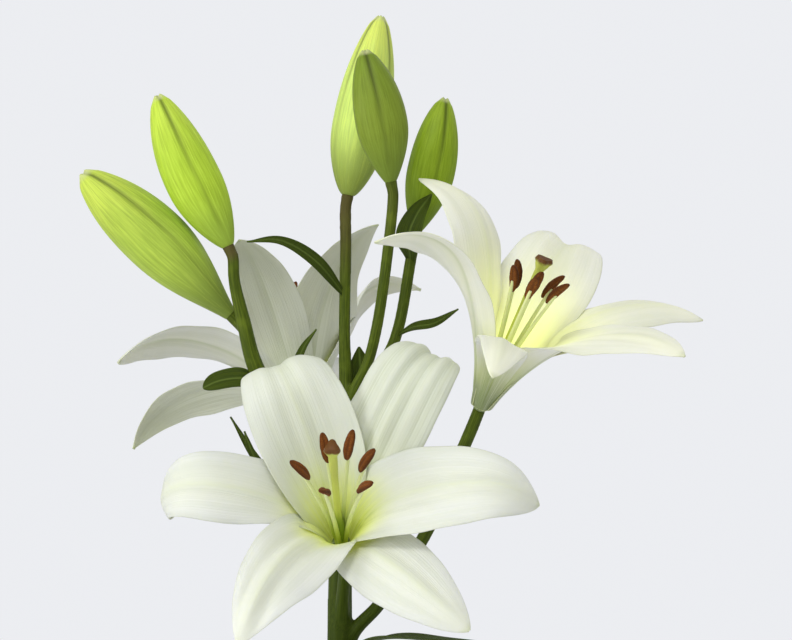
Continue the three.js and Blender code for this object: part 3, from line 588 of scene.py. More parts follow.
def petal_paint(name, tints):
    """Skin of a petal: throat colours at its root, green nectar streaks, faint veins and a tinted tip."""
    paint = Paint(name, Subsurface_Weight=0.3, Subsurface_Radius=(1.0, 0.95, 0.6), Subsurface_Scale=0.0025,
                  Sheen_Weight=0.06, Sheen_Roughness=0.45, Specular_IOR_Level=0.35, Emission_Strength=1.0)
    flesh, reach = tints["flesh"], tints["glow_reach"]
    dark = tint(flesh, 0.86, 0.89, 0.80)
    place, spot = paint.position(), paint.node("UVMap", {})
    u, s, _ = paint.parts(spot)
    u = u * 2 - 1
    side = paint.maths("ABSOLUTE", u)
    away, valley = paint.attribute("reach"), paint.attribute("valley")
    patch = paint.grain(place, 60.0, 3.0)
    vein = veins(paint, 46, 1.2)
    taper = 1 - paint.rise(s, 0.72, 0.93)  # a tip is too narrow for veins

    # the flesh, warmer along the midrib, and below it the throat's two colours
    skin = paint.blend(paint.hill(away, 0.012) * 0.8, flesh, tint(flesh, 0.995, 1.0, 0.90))
    deep = s + (patch - 0.5) * 0.05
    colour = paint.blend(paint.rise(deep, 0.03, reach * 0.45), tints["throat"], tints["glow"])
    colour = paint.blend(paint.rise(deep + u * u * 0.05, reach * 0.35, reach), colour, skin)

    # the rib's line, and the nectar streaks on both sides of it
    line = paint.hill(away, 0.5) * (1 - paint.rise(s, 0.72, 0.97)) * tints["stripe"]
    colour = paint.blend(line, colour, tints["rib"])
    streak = paint.grain(paint.stretched(spot, 60, 5, 1), 1.0, 2.0)
    nectar = (1 - paint.rise(s, 0.10, 0.38)) * paint.rise(streak, 0.44, 0.60) * paint.hill(away, 0.045)
    colour = paint.blend(nectar * 0.75, colour, tints["nectar"])

    # painted shade in folds and over shaded petals; veins, darker in that shade; patches, margins and tip
    colour = paint.blend(valley, colour, tint(flesh, 0.70, 0.73, 0.60))
    colour = paint.blend((1 - vein) * (valley * 0.6 + 0.35) * taper, colour, dark)
    colour = paint.blend(paint.rise(patch, 0.5, 0.8) * 0.12, colour, dark)
    colour = paint.blend(paint.rise(side, 0.93, 1.0) * 0.5, colour, tint(flesh, 0.78, 0.80, 0.66))
    colour = paint.blend(paint.rise(s, 0.962, 1.0) * 0.6, colour, tints["tip"])

    # a painted glow for the light that passes through the throat, but not at the margins
    through = (1 - paint.rise(s, 0.18, reach * 1.1)) * (1 - paint.rise(side, 0.6, 0.9))
    paint.feed("Emission Color", paint.blend(through, (0.0, 0.0, 0.0), tints["painted_glow"]))
    fine = paint.grain(place, 1500.0, 2.0)
    return paint.finish(colour, patch * 0.14 + 0.42, vein * taper * 0.8 + fine * 0.12, 0.10)


def bud_paint(name, skin, glow, foot):
    """Skin of a bud: streaks from base to tip, dark seams, and its own colours at both ends."""
    paint = Paint(name, Subsurface_Weight=0.10, Subsurface_Radius=(0.7, 1.0, 0.25), Subsurface_Scale=0.002,
                  Specular_IOR_Level=0.18)
    way = paint.attribute("way", 1)
    seam, share = paint.attribute("seam"), paint.attribute("share")
    streak = paint.grain(paint.stretched(way, 15, 15, 1.2), 1.0, 3.0, 0.6)
    broad = paint.grain(paint.stretched(way, 4, 4, 1.5), 1.0, 2.0)
    colour = paint.blend(paint.rise(share, 0.02, 0.42), foot, skin)
    colour = paint.blend(paint.rise(share + (broad - 0.5) * 0.3, 0.55, 0.95), colour, glow)
    colour = paint.blend(paint.rise(streak, 0.46, 0.68) * 0.5, colour, tint(skin, 0.66))
    pale = tuple(min(1, c * 1.2 + 0.02) for c in glow)
    colour = paint.blend(paint.rise(1 - streak, 0.48, 0.72) * 0.35, colour, pale)
    colour = paint.blend(seam * 0.85, colour, tint(skin, 0.25))
    colour = paint.blend(paint.rise(share, 0.968, 0.995) * 0.7, colour, (0.60, 0.64, 0.30))
    fine = paint.grain(paint.position(), 1300.0, 2.0)
    return paint.finish(colour, broad * 0.16 + 0.42, streak * 0.8 + fine * 0.25, 0.22)


def stem_paint():
    """Skin of stem and stalks: fine streaks along them, darker low down, purple-brown under two buds."""
    paint = Paint("stem skin", Subsurface_Weight=0.05, Subsurface_Radius=(0.5, 1.0, 0.2),
                  Subsurface_Scale=0.001, Specular_IOR_Level=0.12)
    way = paint.attribute("way", 1)
    streak = paint.grain(paint.stretched(way, 1.6, 1.6, 0.05), 1.0, 3.0, 0.6)
    patch = paint.grain(way, 0.09, 3.0)
    height = paint.parts(paint.position())[2]
    colour = paint.blend(paint.rise(streak, 0.35, 0.7), (0.052, 0.078, 0.005), (0.108, 0.148, 0.011))
    colour = paint.blend(paint.rise(patch, 0.5, 0.75) * 0.45, colour, (0.150, 0.208, 0.015))
    colour = paint.blend((1 - paint.rise(height, 0.26, 0.38)) * 0.8, colour, (0.040, 0.066, 0.003))
    flush = paint.attribute("flush")
    colour = paint.blend(flush * (0.5 + streak * 0.4), colour, (0.110, 0.075, 0.030))
    fine = paint.grain(paint.position(), 1600.0, 2.0)
    return paint.finish(colour, patch * 0.2 + 0.42, streak * 0.8 + fine * 0.2, 0.22)


def leaf_paint(name, light, dark):
    """One side of the leaves: parallel veins and a paler midrib."""
    paint = Paint(name, Subsurface_Weight=0.05, Subsurface_Radius=(0.4, 1.0, 0.2), Subsurface_Scale=0.001,
                  Specular_IOR_Level=0.15)
    away = paint.attribute("reach")
    vein = veins(paint, 24, 1.0)
    patch = paint.grain(paint.position(), 90.0, 3.0)
    colour = paint.blend(vein, dark, tint(light, 1.2))
    colour = paint.blend(paint.rise(patch, 0.4, 0.75) * 0.5, colour, light)
    colour = paint.blend(paint.hill(away, 4) * 0.5, colour, (0.17, 0.24, 0.045))
    fine = paint.grain(paint.position(), 1400.0, 2.0)
    return paint.finish(colour, patch * 0.2 + 0.38, vein * 0.8 + fine * 0.2, 0.2)


def pollen_paint():
    """Rust-brown anthers dusty with pollen, darker in the lobes' furrow, with painted shade at edges and
    ends.
    """
    paint = Paint("pollen", Sheen_Weight=0.03, Sheen_Roughness=0.6, Specular_IOR_Level=0.15)
    place = paint.position()
    dust = paint.grain(place, 2600.0, 3.0, 0.7)
    patch = paint.grain(place, 420.0, 2.0)
    furrow = paint.attribute("furrow")
    colour = paint.blend(paint.rise(dust, 0.35, 0.7), (0.190, 0.050, 0.007), (0.380, 0.120, 0.016))
    colour = paint.blend(paint.rise(patch, 0.5, 0.8) * 0.5, colour, (0.46, 0.170, 0.024))
    colour = paint.blend(furrow * 0.6, colour, (0.055, 0.016, 0.003))
    # painted shade along the edges and at both ends
    colour = paint.blend(paint.attribute("rim") * 0.8, colour, (0.060, 0.016, 0.003))
    return paint.finish(colour, dust * 0.2 + 0.72, dust + patch * 0.5, 0.35)


def filament_paint():
    """Pale green at the foot of the stamens, nearly white further up."""
    paint = Paint("filament", Subsurface_Weight=0.2, Subsurface_Radius=(0.8, 1.0, 0.4),
                  Subsurface_Scale=0.001, Specular_IOR_Level=0.25)
    share = paint.attribute("share")
    streak = paint.grain(paint.stretched(paint.position(), 1, 1, 0.3), 900.0, 2.0)
    colour = paint.blend(paint.rise(share, 0.05, 0.6), (0.50, 0.60, 0.08), (0.80, 0.84, 0.46))
    colour = paint.blend(streak * 0.3, colour, (0.64, 0.72, 0.24))
    return paint.finish(colour, streak * 0.2 + 0.35, streak, 0.08)


def pistil_paint():
    """Green ovary, yellow-green style and a stigma with a purple-brown rim."""
    paint = Paint("pistil", Subsurface_Weight=0.15, Subsurface_Radius=(0.8, 1.0, 0.3),
                  Subsurface_Scale=0.001, Specular_IOR_Level=0.15)
    share = paint.attribute("share")
    grit = paint.grain(paint.position(), 1100.0, 3.0)
    colour = paint.blend(paint.rise(share, 0.2, 0.4), (0.22, 0.34, 0.04), (0.62, 0.68, 0.14))
    rim = paint.rise(share + (grit - 0.5) * 0.02, 0.955, 0.985)
    colour = paint.blend(grit * 0.25, colour, (0.50, 0.52, 0.10))
    colour = paint.blend(rim * 0.95, colour, (0.130, 0.034, 0.012))
    return paint.finish(colour, grit * 0.2 + 0.3, grit, 0.15)


def glaze_paint():
    """Warm white glaze with fine iron specks, slightly pooled, over a bare clay foot."""
    paint = Paint("vase glaze", Coat_Roughness=0.08, Coat_IOR=1.5, Specular_IOR_Level=0.5)
    place = paint.position()
    height = paint.parts(place)[2]
    pool = paint.grain(place, 14.0, 4.0)
    speck = paint.node("TexVoronoi", {"Vector": place, "Scale": 260.0, "Randomness": 1.0})
    chance = paint.grain(place, 75.0, 1.0)
    specks = (1 - paint.rise(speck, 0.05, 0.16)) * paint.rise(chance, 0.55, 0.62)
    colour = paint.blend(paint.rise(pool, 0.3, 0.7), (0.70, 0.68, 0.60), (0.80, 0.785, 0.72))
    colour = paint.blend(specks * 0.75, colour, (0.16, 0.10, 0.055))
    bare = 1 - paint.rise(height + (pool - 0.5) * 0.002, 0.0022, 0.0034)
    clay = paint.grain(place, 900.0, 4.0, 0.7)
    body = paint.blend(clay, (0.42, 0.32, 0.22), (0.55, 0.44, 0.32))
    colour = paint.blend(bare, colour, body)
    paint.feed("Coat Weight", 1 - bare)
    roughness = pool * 0.12 + 0.16 + bare * 0.6
    return paint.finish(colour, roughness, pool * 0.6 + clay * bare * 0.3 - specks * 0.1, 0.6)


def water_paint():
    """Clear water with a faint ripple."""
    paint = Paint("water", Transmission_Weight=1.0, IOR=1.333, Specular_IOR_Level=0.5)
    ripple = paint.grain(paint.position(), 45.0, 1.0)
    colour = paint.blend(ripple * 0.1, (0.93, 0.97, 0.96), (0.86, 0.93, 0.90))
    return paint.finish(colour, ripple * 0.02 + 0.01, ripple, 0.1)


# ---------------------------------------------------------------- blooms


def bloom_frame(bloom):
    """Directions of a bloom: along its axis, and two across it, the first of these as far up as it can be."""
    along = Vector(bloom["axis"]).normalized()
    high = (UP - along * along.z).normalized()
    return Vector(bloom["seat"]), along, high, high.cross(along)


def turned(high, wide, turn):
    """Outward direction at a turn round the axis, and the direction in which the turn grows."""
    a = math.radians(turn)
    return high * math.cos(a) + wide * math.sin(a), wide * math.cos(a) - high * math.sin(a)


PETAL_ACROSS = 22
PETAL_ALONG = 44
MIDRIB_STEPS = 480


def petal(bloom, tepal, number, skins):
    """One petal on its midrib."""
    kind, turn = tepal["kind"], tepal["turn"]
    seat, along, high, wide = bloom_frame(bloom)
    out, around = turned(high, wide, turn)
    bend_back, bend_from = tepal.get("curl", (0, 0))
    twist = math.radians(tepal.get("twist", 0))

    def direction(s):
        """Along the midrib, across the blade and out of its face, at a share of the length."""
        angle = math.radians(bend(tepal["open"], s) + bend_back * smooth(s, bend_from, 1))
        lean = math.radians(tepal["sway"] * s)
        away = out * math.cos(lean) + around * math.sin(lean)
        across = around * math.cos(lean) - out * math.sin(lean)
        tangent = along * math.cos(angle) + away * math.sin(angle)
        inward = along * math.sin(angle) - away * math.cos(angle)
        roll = Matrix.Rotation(twist * smooth(s, PETAL_FORM["twist_from"], 1), 3, tangent)
        return tangent, roll @ across, roll @ inward

    midrib = [seat + along * PETAL_FORM["foot"] + out * kind["start"]]
    step = tepal["length"] / MIDRIB_STEPS
    for i in range(MIDRIB_STEPS):
        midrib.append(midrib[-1] + direction((i + 0.5) / MIDRIB_STEPS)[0] * step)

    spread, waist = tepal.get("spread", (1, 1)), tepal.get("waist", (1, 1))
    tip = tepal.get("tip", ROUND_TIP)
    width = kind["width"] * tepal.get("wide", 1)
    # how much painted shade lies over all of this petal
    groove, painted_shade = tepal.get("groove", 0), tepal.get("painted_shade", 0)
    ridge = tepal.get("ridge", PETAL_FORM["ridge"])
    folds, fold_height = tepal.get("pleats", PETAL_FORM["pleats"])

    def rule(u, t):
        s = math.sin(math.pi / 2 * t) ** PETAL_FORM["crowding"]
        point = value_at(midrib, s)
        _, side, normal = direction(s)
        margin = 0 if u < 0 else 1
        middle = math.sin(math.pi * s)

        # the solid's form: its two halves, their hollow or fold, the waves of its margins and the groove
        half = max(width / 2 * outline(s, kind["root"], kind["widest"], tip), PETAL_FORM["least_half"])
        from_axis = (point - seat - along * along.dot(point - seat)).length
        tube_share = 1 - smooth(s, *kind["tube"])
        hollow = tube_share * half / (2 * from_axis) + (1 - tube_share) * kind["fold"]
        away = u * half * spread[margin] * mix(waist[margin], 1, smooth(s, *PETAL_FORM["waist_up_to"]))
        wave = middle * kind["ripple"] * math.sin(PETAL_FORM["ripples"][margin] * s + (margin + 1) * turn)
        lift = hollow * away * away / half + abs(u) ** 3 * wave
        lift -= groove * smooth(s, *PETAL_FORM["groove_from"]) * hill(away, PETAL_FORM["groove_reach"])

        # the raised midrib between two shallow dips, and the nectar furrow at its root
        body = smooth(s, 0.12, 0.35) * (1 - smooth(s, 0.8, 1))
        lift += ridge * body * (hill(away, 2.6) - 0.5 * hill(abs(away) - 5.5, 2.4))
        lift -= 0.6 * (1 - smooth(s, 0.2, 0.5)) * smooth(s, 0, 0.08) * hill(away, 1.8)

        # lengthwise pleats, which wander and come and go
        drift = 0.9 * math.sin(2.3 * s + 1.7 * number) + 1.1 * lumps(u * 0.9, number * 3.1, 0)
        fan = 0.55 + 0.45 * lumps(u * 2.1, s * 1.4, number * 5.7)
        pleat = math.cos(folds * math.pi * u + drift)
        lift += fold_height * body * fan * pleat * (1 - 0.4 * u * u)

        # soft bumps, and small ruffles along the margins
        bumps = smooth(s, 0.2, 0.5) * (1 - smooth(s, 0.75, 0.95))
        lift += 0.9 * bumps * lumps(u * 1.3, s * 4, number * 7.3)
        lift += 0.45 * abs(u) ** 6 * middle * math.sin(34 * s + 5 * number + 2 * margin)

        # painted shade: deepest in the pleats' valleys, in soft patches short of the tip, and over all of a
        # shaded petal
        valley = min(fold_height, 1) * body * fan * smooth(-pleat, -0.2, 1)
        valley += 0.25 * (1 - smooth(s, 0.8, 1)) * smooth(lumps(u * 2.6, s * 1.1, number * 2.9), -0.1, 0.6)
        return point + side * away + normal * lift, away, s, min(valley + painted_shade, 1)

    return blade(PETAL_ACROSS, PETAL_ALONG, rule, PETAL_FORM["thickness"], PETAL_FORM["margin"], skins)


def cup(bloom):
    """The green cup that the six petals grow from."""
    seat, along, high, wide = bloom_frame(bloom)

    def rule(angle, t, shell):
        lobes = 1 + 0.05 * math.cos(6 * angle)
        radius = mix(CORE["bottom"], CORE["top"], smooth(t, 0, 0.8)) * lobes * shell
        if t > 0.9:  # its top tenth closes towards the stamens
            radius *= mix(1, 0.55, (t - 0.9) / 0.1)
        out = high * math.cos(angle) + wide * math.sin(angle)
        return seat + along * CORE["height"] * t + out * radius

    body = round_body(36, 16, rule)
    flip(body)
    # For the petals' back skin, all of the cup lies near a petal's root and away from its midrib.
    note(body, "valley", [0.0] * len(body.data.vertices))
    note(body, "reach", [9.0] * len(body.data.vertices))
    for loop in body.data.uv_layers.active.data:
        loop.uv.y *= 0.05
    return body


def filament_points(bloom, turn, spread):
    """Points of a filament from its foot to its anther."""
    seat, along, high, wide = bloom_frame(bloom)
    out, _ = turned(high, wide, turn)
    points = []
    for t in FILAMENT["knots"]:
        rise = FILAMENT["length"] * t * math.cos(math.radians(spread * t))
        up = STAMEN_FOOT + STAMEN_BASE["filament"] + rise
        away = FILAMENT["start"] + FILAMENT["length"] * math.tan(math.radians(spread)) * t ** FILAMENT["arch"]
        points.append(seat + along * up + out * away)
    return points


def filaments(bloom):
    """Six filaments on their small common base."""
    seat, along, high, wide = bloom_frame(bloom)
    shares = [i / FILAMENT["steps"] for i in range(FILAMENT["steps"] + 1)]
    made = []
    for turn, spread in bloom["stamens"]:
        way = Way(filament_points(bloom, turn, spread))
        radii = [mix(FILAMENT["radius"], FILAMENT["tip"], share) for share in shares]
        stalk = tube([way.at(share)[0] for share in shares], radii)
        note(stalk, "share", [0.0] * len(stalk.data.vertices))
        made.append(stalk)

    def rule(angle, t, shell):
        lobes = 1 + 0.06 * math.cos(6 * angle)
        radius = STAMEN_BASE["radius"] * lobes * shell * (1 - 0.3 * smooth(t, 0.7, 1))
        out = high * math.cos(angle) + wide * math.sin(angle)
        return seat + along * (STAMEN_FOOT + STAMEN_BASE["height"] * t) + out * radius

    base = round_body(30, 12, rule)
    flip(base)
    note(base, "share", [0.0] * len(base.data.vertices))
    whole = join([*made, base])
    for value, vertex in zip(whole.data.attributes["share"].data, whole.data.vertices):
        value.value = (vertex.co / MM - seat).dot(along) / (STAMEN_FOOT + FILAMENT["length"])
    return whole


def anthers(bloom, number):
    """Two-lobed anthers, each balanced on the end of its filament."""
    seat, along, high, wide = bloom_frame(bloom)
    made = []
    for k, (turn, spread) in enumerate(bloom["stamens"]):
        out, around = turned(high, wide, turn)
        end = filament_points(bloom, turn, spread)[-1]
        lean = math.radians(spread * FILAMENT["arch"] + ANTHER["tilt"])
        long = along * math.cos(lean) + out * math.sin(lean)
        thick = long.cross(around)
        furrow, rim = [], []

        def rule(angle, t, shell):
            swell = max(math.sin(math.pi * t), 0) ** 0.4 * shell
            dip = abs(math.sin(angle)) ** 6
            rough = 1 + 0.07 * lumps(angle * 1.5, t * 9, number * 9 + k * 5)
            flat = mix(*ANTHER["flat"], abs(math.sin(angle)) ** 2) * (1 - 0.3 * dip)
            radius = ANTHER["width"] / 2 * swell * flat * rough * ANTHER["fullness"]
            bow = ANTHER["bow"] * math.sin(math.pi * t)
            furrow.append(dip * swell)
            # the edges and both ends, where the skin takes painted shade
            rim.append(max(abs(math.cos(angle)) ** 4, (2 * abs(t - 0.5)) ** 4))
            middle = end + long * ANTHER["length"] * (t - ANTHER["balance"]) - thick * bow
            return middle + around * radius * math.cos(angle) + thick * radius * math.sin(angle)

        body = round_body(28, 22, rule)
        note(body, "furrow", furrow)
        note(body, "rim", rim)
        made.append(body)
    return join(made)


def pistil(bloom):
    """Ovary, style and the three-lobed stigma."""
    seat, along, high, wide = bloom_frame(bloom)
    length, lean, stigma = (bloom["pistil"][key] for key in ("length", "lean", "stigma"))
    foot = STAMEN_FOOT + STAMEN_BASE["pistil"]
    # share of the length, and radius
    profile = [(0, PISTIL["ovary"] * 0.8), (0.08, PISTIL["ovary"]), (0.2, PISTIL["ovary"]),
               (PISTIL["ovary_length"] / length, PISTIL["style"]), (0.6, PISTIL["style"]),
               (0.91, PISTIL["neck"]), (0.955, stigma * 0.8), (0.975, stigma), (1, stigma * 0.85)]
    share_of = []

    def rule(angle, t, shell):
        k = next(i for i in range(len(profile) - 1) if t <= profile[i + 1][0] or i == len(profile) - 2)
        (t0, r0), (t1, r1) = profile[k], profile[k + 1]
        lobes = 0.05 + 0.15 * smooth(t, 0.9, 0.97)
        radius = mix(r0, r1, smooth(t, t0, t1)) * (1 + lobes * math.cos(3 * angle)) * shell
        share_of.append(t)
        centre = seat + along * (foot + t * length - (0 if shell or t < 0.5 else PISTIL["hollow"]))
        centre += (wide * lean[0] + high * lean[1]) * t * t
        return centre + (high * math.cos(angle) + wide * math.sin(angle)) * radius

    body = round_body(30, 60, rule)
    flip(body)
    note(body, "share", share_of)
    return body


# ---------------------------------------------------------------- buds, stems and leaves


def bud(form):
    """A closed bud: three petal backs with a furrow between each two, and three small points at the tip."""
    base = Vector(form["base"])
    along = Vector(form["tip"]) - base
    length = along.length
    along.normalize()
    right = along.cross(TO_VIEWER).normalized()
    front = right.cross(along)
    seam_turn, belly = math.radians(form["seam"]), form["belly"]
    foot, (end, late, blunt) = BUD_FORM["foot"], BUD_FORM["taper"]
    (furrow_width, furrow_depth), (keel_width, keel_height) = BUD_FORM["furrow"], BUD_FORM["keel"]
    way, seams, shares = [], [], []

    def rule(angle, t, shell):
        if t < belly:
            swell = foot + (1 - foot) * math.sin(math.pi / 2 * t / belly) ** form["fullness"]
        else:
            swell = (1 - ((t - belly) / (end - belly)) ** late) ** blunt
        swell *= math.sqrt(max(1 - (max(t - 0.955, 0) / 0.05) ** 2, 0.03))
        round_seam = math.cos(3 * (angle - seam_turn))
        middle = math.sin(math.pi * t)
        off = (angle - seam_turn + math.pi / 3) % (2 * math.pi / 3) - math.pi / 3
        narrow = hill(off * swell * form["width"] / 2, furrow_width)
        deep = narrow * (0.35 + 0.65 * smooth(t, 0.35, 0.95)) * smooth(t, 0.03, 0.2)
        keel = hill(abs(off) - math.pi / 3, keel_width) * middle
        radius = form["width"] / 2 * swell * (1 - BUD_FORM["lobe"] * middle * round_seam) * shell
        radius += (keel_height * keel - furrow_depth * deep) * shell * min(1, swell * 3)
        up = t * length + BUD_FORM["points"] * smooth(t, 0.97, 1) * (0.5 - 0.5 * round_seam) * shell
        way.append((math.cos(angle), math.sin(angle), t * 4))
        seams.append(deep * shell)
        shares.append(t)
        centre = base + along * up + right * form["bow"] * middle
        return centre + (front * math.cos(angle) + right * math.sin(angle)) * radius

    body = round_body(72, 48, rule)
    note(body, "way", way, "FLOAT_VECTOR")
    note(body, "seam", seams)
    note(body, "share", shares)
    return body


STALK_TUCK = 1  # millimetres that a stalk reaches into its bloom or bud
STALK_STEP = 2  # millimetres between the rings of a stalk


def stalk(points, radii):
    """The rings of a stalk: point, radius, direction and distance from its root."""
    way = Way(points)
    whole, last = way.lengths[-1], len(way.lengths) - 1
    count = max(8, int(whole / STALK_STEP))
    rings = []
    for i in range(count + 1):
        point, direction = way.at(i / count)
        walked = i / count * whole
        passed = next((k for k, length in enumerate(way.lengths) if length >= walked - 1e-6), last)
        rings.append((point, value_at(radii, passed / last), direction, walked))
    return rings


def stalk_ways():
    """Every stalk's points and radii. Its last points lie on the axis of the bloom or bud that it carries."""
    ways = []
    for name, form in STALKS.items():
        if name in BLOOMS:
            seat, along, _, _ = bloom_frame(BLOOMS[name])
            approach, end = BLOOM_APPROACH, CORE["bottom"]
        else:
            seat = Vector(BUDS[name]["base"])
            along = (Vector(BUDS[name]["tip"]) - seat).normalized()
            approach, end = BUD_APPROACH, BUD_SEAT_RADIUS
        backs = (*approach, -STALK_TUCK)
        points = [seat - along * back for back in backs]
        radii = [end if back <= GAP else form["radii"][-1] for back in backs]
        ways.append(([*form["points"], *points], [*form["radii"], *radii]))
    return ways


STEM_VOXEL = 0.75
COLLAR = {"swelling": 0.16, "reach": 6}  # how much thicker a stalk is at its root, and how soon that fades
FLUSH_FROM = 4
FLUSHED = {"bud_c": 46, "bud_b": 9}  # millimetres of stalk below a bud that are purple-brown
ASIDE = Vector((0.3, 1, 0.2))  # a direction that no stalk runs in


def stem():
    """Stem and stalks grown into one, with soft forks."""
    all_rings = [stalk(*way) for way in stalk_ways()]
    tubes = []
    for rings in all_rings:
        collar = [1 + COLLAR["swelling"] * math.exp(-distance / COLLAR["reach"]) for *_, distance in rings]
        tubes.append(tube([ring[0] for ring in rings], [ring[1] * k for ring, k in zip(rings, collar)]))
    body = join(tubes)
    modify(body, "REMESH", mode="VOXEL", voxel_size=STEM_VOXEL * MM)
    modify(body, "SMOOTH", factor=0.5, iterations=4)
    flat = [ring for rings in all_rings for ring in rings]
    tree = KDTree(len(flat))
    for i, ring in enumerate(flat):
        tree.insert(ring[0] * MM, i)
    tree.balance()
    way, flush = [], []
    ends = {name: Vector(BUDS[name]["base"]) for name in FLUSHED}
    for vertex in body.data.vertices:
        point, _, direction, distance = flat[tree.find(vertex.co)[1]]
        off = vertex.co / MM - point
        first = direction.cross(ASIDE).normalized()
        second = direction.cross(first)
        way.append((off.dot(first), off.dot(second), distance + off.dot(direction)))
        away = {name: (vertex.co / MM - end).length for name, end in ends.items()}
        flush.append(max(1 - smooth(away[name], FLUSH_FROM, reach) for name, reach in FLUSHED.items()))
    note(body, "way", way, "FLOAT_VECTOR")
    note(body, "flush", flush)
    return body


LEAF_ACROSS = 8
LEAF_ALONG = 26


def leaf(form, number, skins):
    """A leaf along its curve, hollow along the midrib, with waved edges."""
    way = Way(form["points"])
    face = Vector(form["face"])
    widest, tip = form.get("widest", LEAF_FORM["widest"]), form.get("tip", LEAF_FORM["tip"])

    def rule(u, t):
        point, tangent = way.at(t)
        side = tangent.cross(face).normalized()
        normal = side.cross(tangent)
        half = max(form["width"] / 2 * outline(t, LEAF_FORM["root"], widest, tip), LEAF_FORM["least_half"])
        middle = math.sin(math.pi * t)
        wave = LEAF_FORM["wave"] * form["width"] * middle
        waving = math.sin(11 * t + 2.1 * number + (1.7 if u > 0 else 0))
        lift = half * LEAF_FORM["hollow"] * u * u + abs(u) ** 3 * wave * waving
        lift -= 0.25 * hill(u * half, 0.7) * middle
        return point + side * u * half + normal * lift, u * half, t, 0

    return blade(LEAF_ACROSS, LEAF_ALONG, rule, LEAF_FORM["thickness"], LEAF_FORM["margin"], skins)


def spiral_leaves():
    """The leaves low on the stem, each arching out and down."""
    forms, steps = [], SPIRAL["steps"]
    for i in range(SPIRAL["count"]):
        turn = math.radians(SPIRAL["start"] + SPIRAL["turn"] * i)
        length = SPIRAL["length"] + SPIRAL["length_change"] * math.sin(SPIRAL["length_step"] * i)
        reach = SPIRAL["root"]
        height = mix(SPIRAL["lowest"], SPIRAL["highest"], i / (SPIRAL["count"] - 1))
        points = []
        for k in range(steps + 1):
            aim = turn + SPIRAL["drift"] * k
            points.append((reach * math.cos(aim), reach * math.sin(aim), height))
            slope = math.radians(mix(SPIRAL["rise"], SPIRAL["fall"], (k + 0.5) / steps))
            reach += length / steps * math.cos(slope)
            height += length / steps * math.sin(slope)
        forms.append({"points": points, "width": SPIRAL["width"], "face": UP})
    return forms


# ---------------------------------------------------------------- vase and water


def vase_curve():
    """Points of the outer wall from foot to lip, on the same curve as the solid's."""
    knots = [Vector(p) for p in VASE_OUTLINE]
    points = []
    for i in range(VASE_STEPS + 1):
        place = i / VASE_STEPS * (len(knots) - 1)
        k = min(int(place), len(knots) - 2)
        t = place - k
        p0, p1, p2, p3 = (knots[min(max(j, 0), len(knots) - 1)] for j in (k - 1, k, k + 1, k + 2))
        leave, reach = (p2 - p0) / 2, (p3 - p1) / 2
        square, cube = 3 * (p2 - p1) - 2 * leave - reach, 2 * (p1 - p2) + leave + reach
        points.append(p1 + leave * t + square * t * t + cube * t**3)
    return points


def lathe(profile, segments, hole=False):
    """A round body spun from radius and height, with a hole through it or closed at both ends."""
    ring = profile if hole else [(0, profile[0][1]), *profile, (0, profile[-1][1])]
    edges = [(i, i + 1) for i in range(len(ring) - 1)]
    if hole:
        edges.append((len(ring) - 1, 0))
    mesh = bpy.data.meshes.new("profile")
    mesh.from_pydata([(radius * MM, 0, height * MM) for radius, height in ring], edges, [])
    body = bpy.data.objects.new("profile", mesh)
    bpy.context.collection.objects.link(body)
    modify(body, "SCREW", angle=2 * math.pi, steps=segments, render_steps=segments, use_merge_vertices=True,
           merge_threshold=1e-5, use_smooth_shade=True)
    flip(body)
    return body


def vase():
    """Thrown bottle vase: a turned foot ring, the wall, a rounded lip and the inside down to its floor."""
    wall = vase_curve()
    outer = [tuple(p) for p in wall if FOOT_TOP < p.y < LIP_BOTTOM]
    inner = [(p.x - VASE_WALL, p.y) for p in wall if VASE_FLOOR + 1 < p.y < LIP_BOTTOM - 0.5]
    corner = inner[0][0]
    floor = [(corner - 3, VASE_FLOOR + 0.2), (corner - 8, VASE_FLOOR)]
    return lathe([*FOOT_RING, *outer, *LIP, *reversed(inner), *floor], VASE_SEGMENTS)


def water():
    """The water, with a thin raised edge where it meets vase and stem."""
    wall = [(p.x - VASE_WALL - 2 * GAP, p.y) for p in vase_curve() if VASE_FLOOR + 1 < p.y < WATER_LEVEL]
    bottom, low, edge = VASE_FLOOR + GAP, WATER_LEVEL - MENISCUS["height"], MENISCUS["width"]
    top = wall[-1][0] - 0.8
    profile = [(WATER_HOLE, bottom), (wall[0][0] - 4, bottom), *wall, (top, WATER_LEVEL),
               (top - edge, low), (WATER_HOLE + edge, low), (WATER_HOLE, WATER_LEVEL)]
    return lathe(profile, WATER_SEGMENTS, hole=True)


# ---------------------------------------------------------------- the whole flower

hand_in(vase(), "vase_body", "glaze", "vase", glaze_paint())
hand_in(water(), "water_body", "water", "water", water_paint())
hand_in(stem(), "stem_and_stalks", "stem", "leafy_stem", stem_paint())
leaf_skins = [leaf_paint("leaf upper side", (0.060, 0.090, 0.005), (0.030, 0.050, 0.003)),
              leaf_paint("leaf under side", (0.080, 0.118, 0.010), (0.050, 0.078, 0.006))]
leaves = [leaf(form, i, leaf_skins) for i, form in enumerate([*LEAVES, *spiral_leaves()])]
hand_in(join(leaves), "stem_leaves", "stem", "leafy_stem")

for name, form in BUDS.items():
    paint = bud_paint(name + " skin", form["skin"], form["glow"], form["foot"])
    hand_in(bud(form), name + "_skin", "bud", name, paint)

pollen, threads, style = pollen_paint(), filament_paint(), pistil_paint()
for order, (name, bloom) in enumerate(BLOOMS.items()):
    face = petal_paint(name + " petal face", FACE_TINTS | bloom["face"])
    back = petal_paint(name + " petal back", BACK_TINTS | bloom["back"])
    petals = [petal(bloom, tepal, 6 * order + i, (face, back)) for i, tepal in enumerate(bloom["petals"])]
    cup_body = cup(bloom)
    cup_body.data.materials.append(back)
    hand_in(join([*petals, cup_body]), name + "_petals", "tepal", name + "_tepals")
    hand_in(filaments(bloom), name + "_filaments", "stamen", name + "_stamens", threads)
    hand_in(anthers(bloom, order), name + "_anthers", "stamen", name + "_stamens", pollen)
    hand_in(pistil(bloom), name + "_pistil", "stamen", name + "_stamens", style)

# ---------------------------------------------------------------- studio

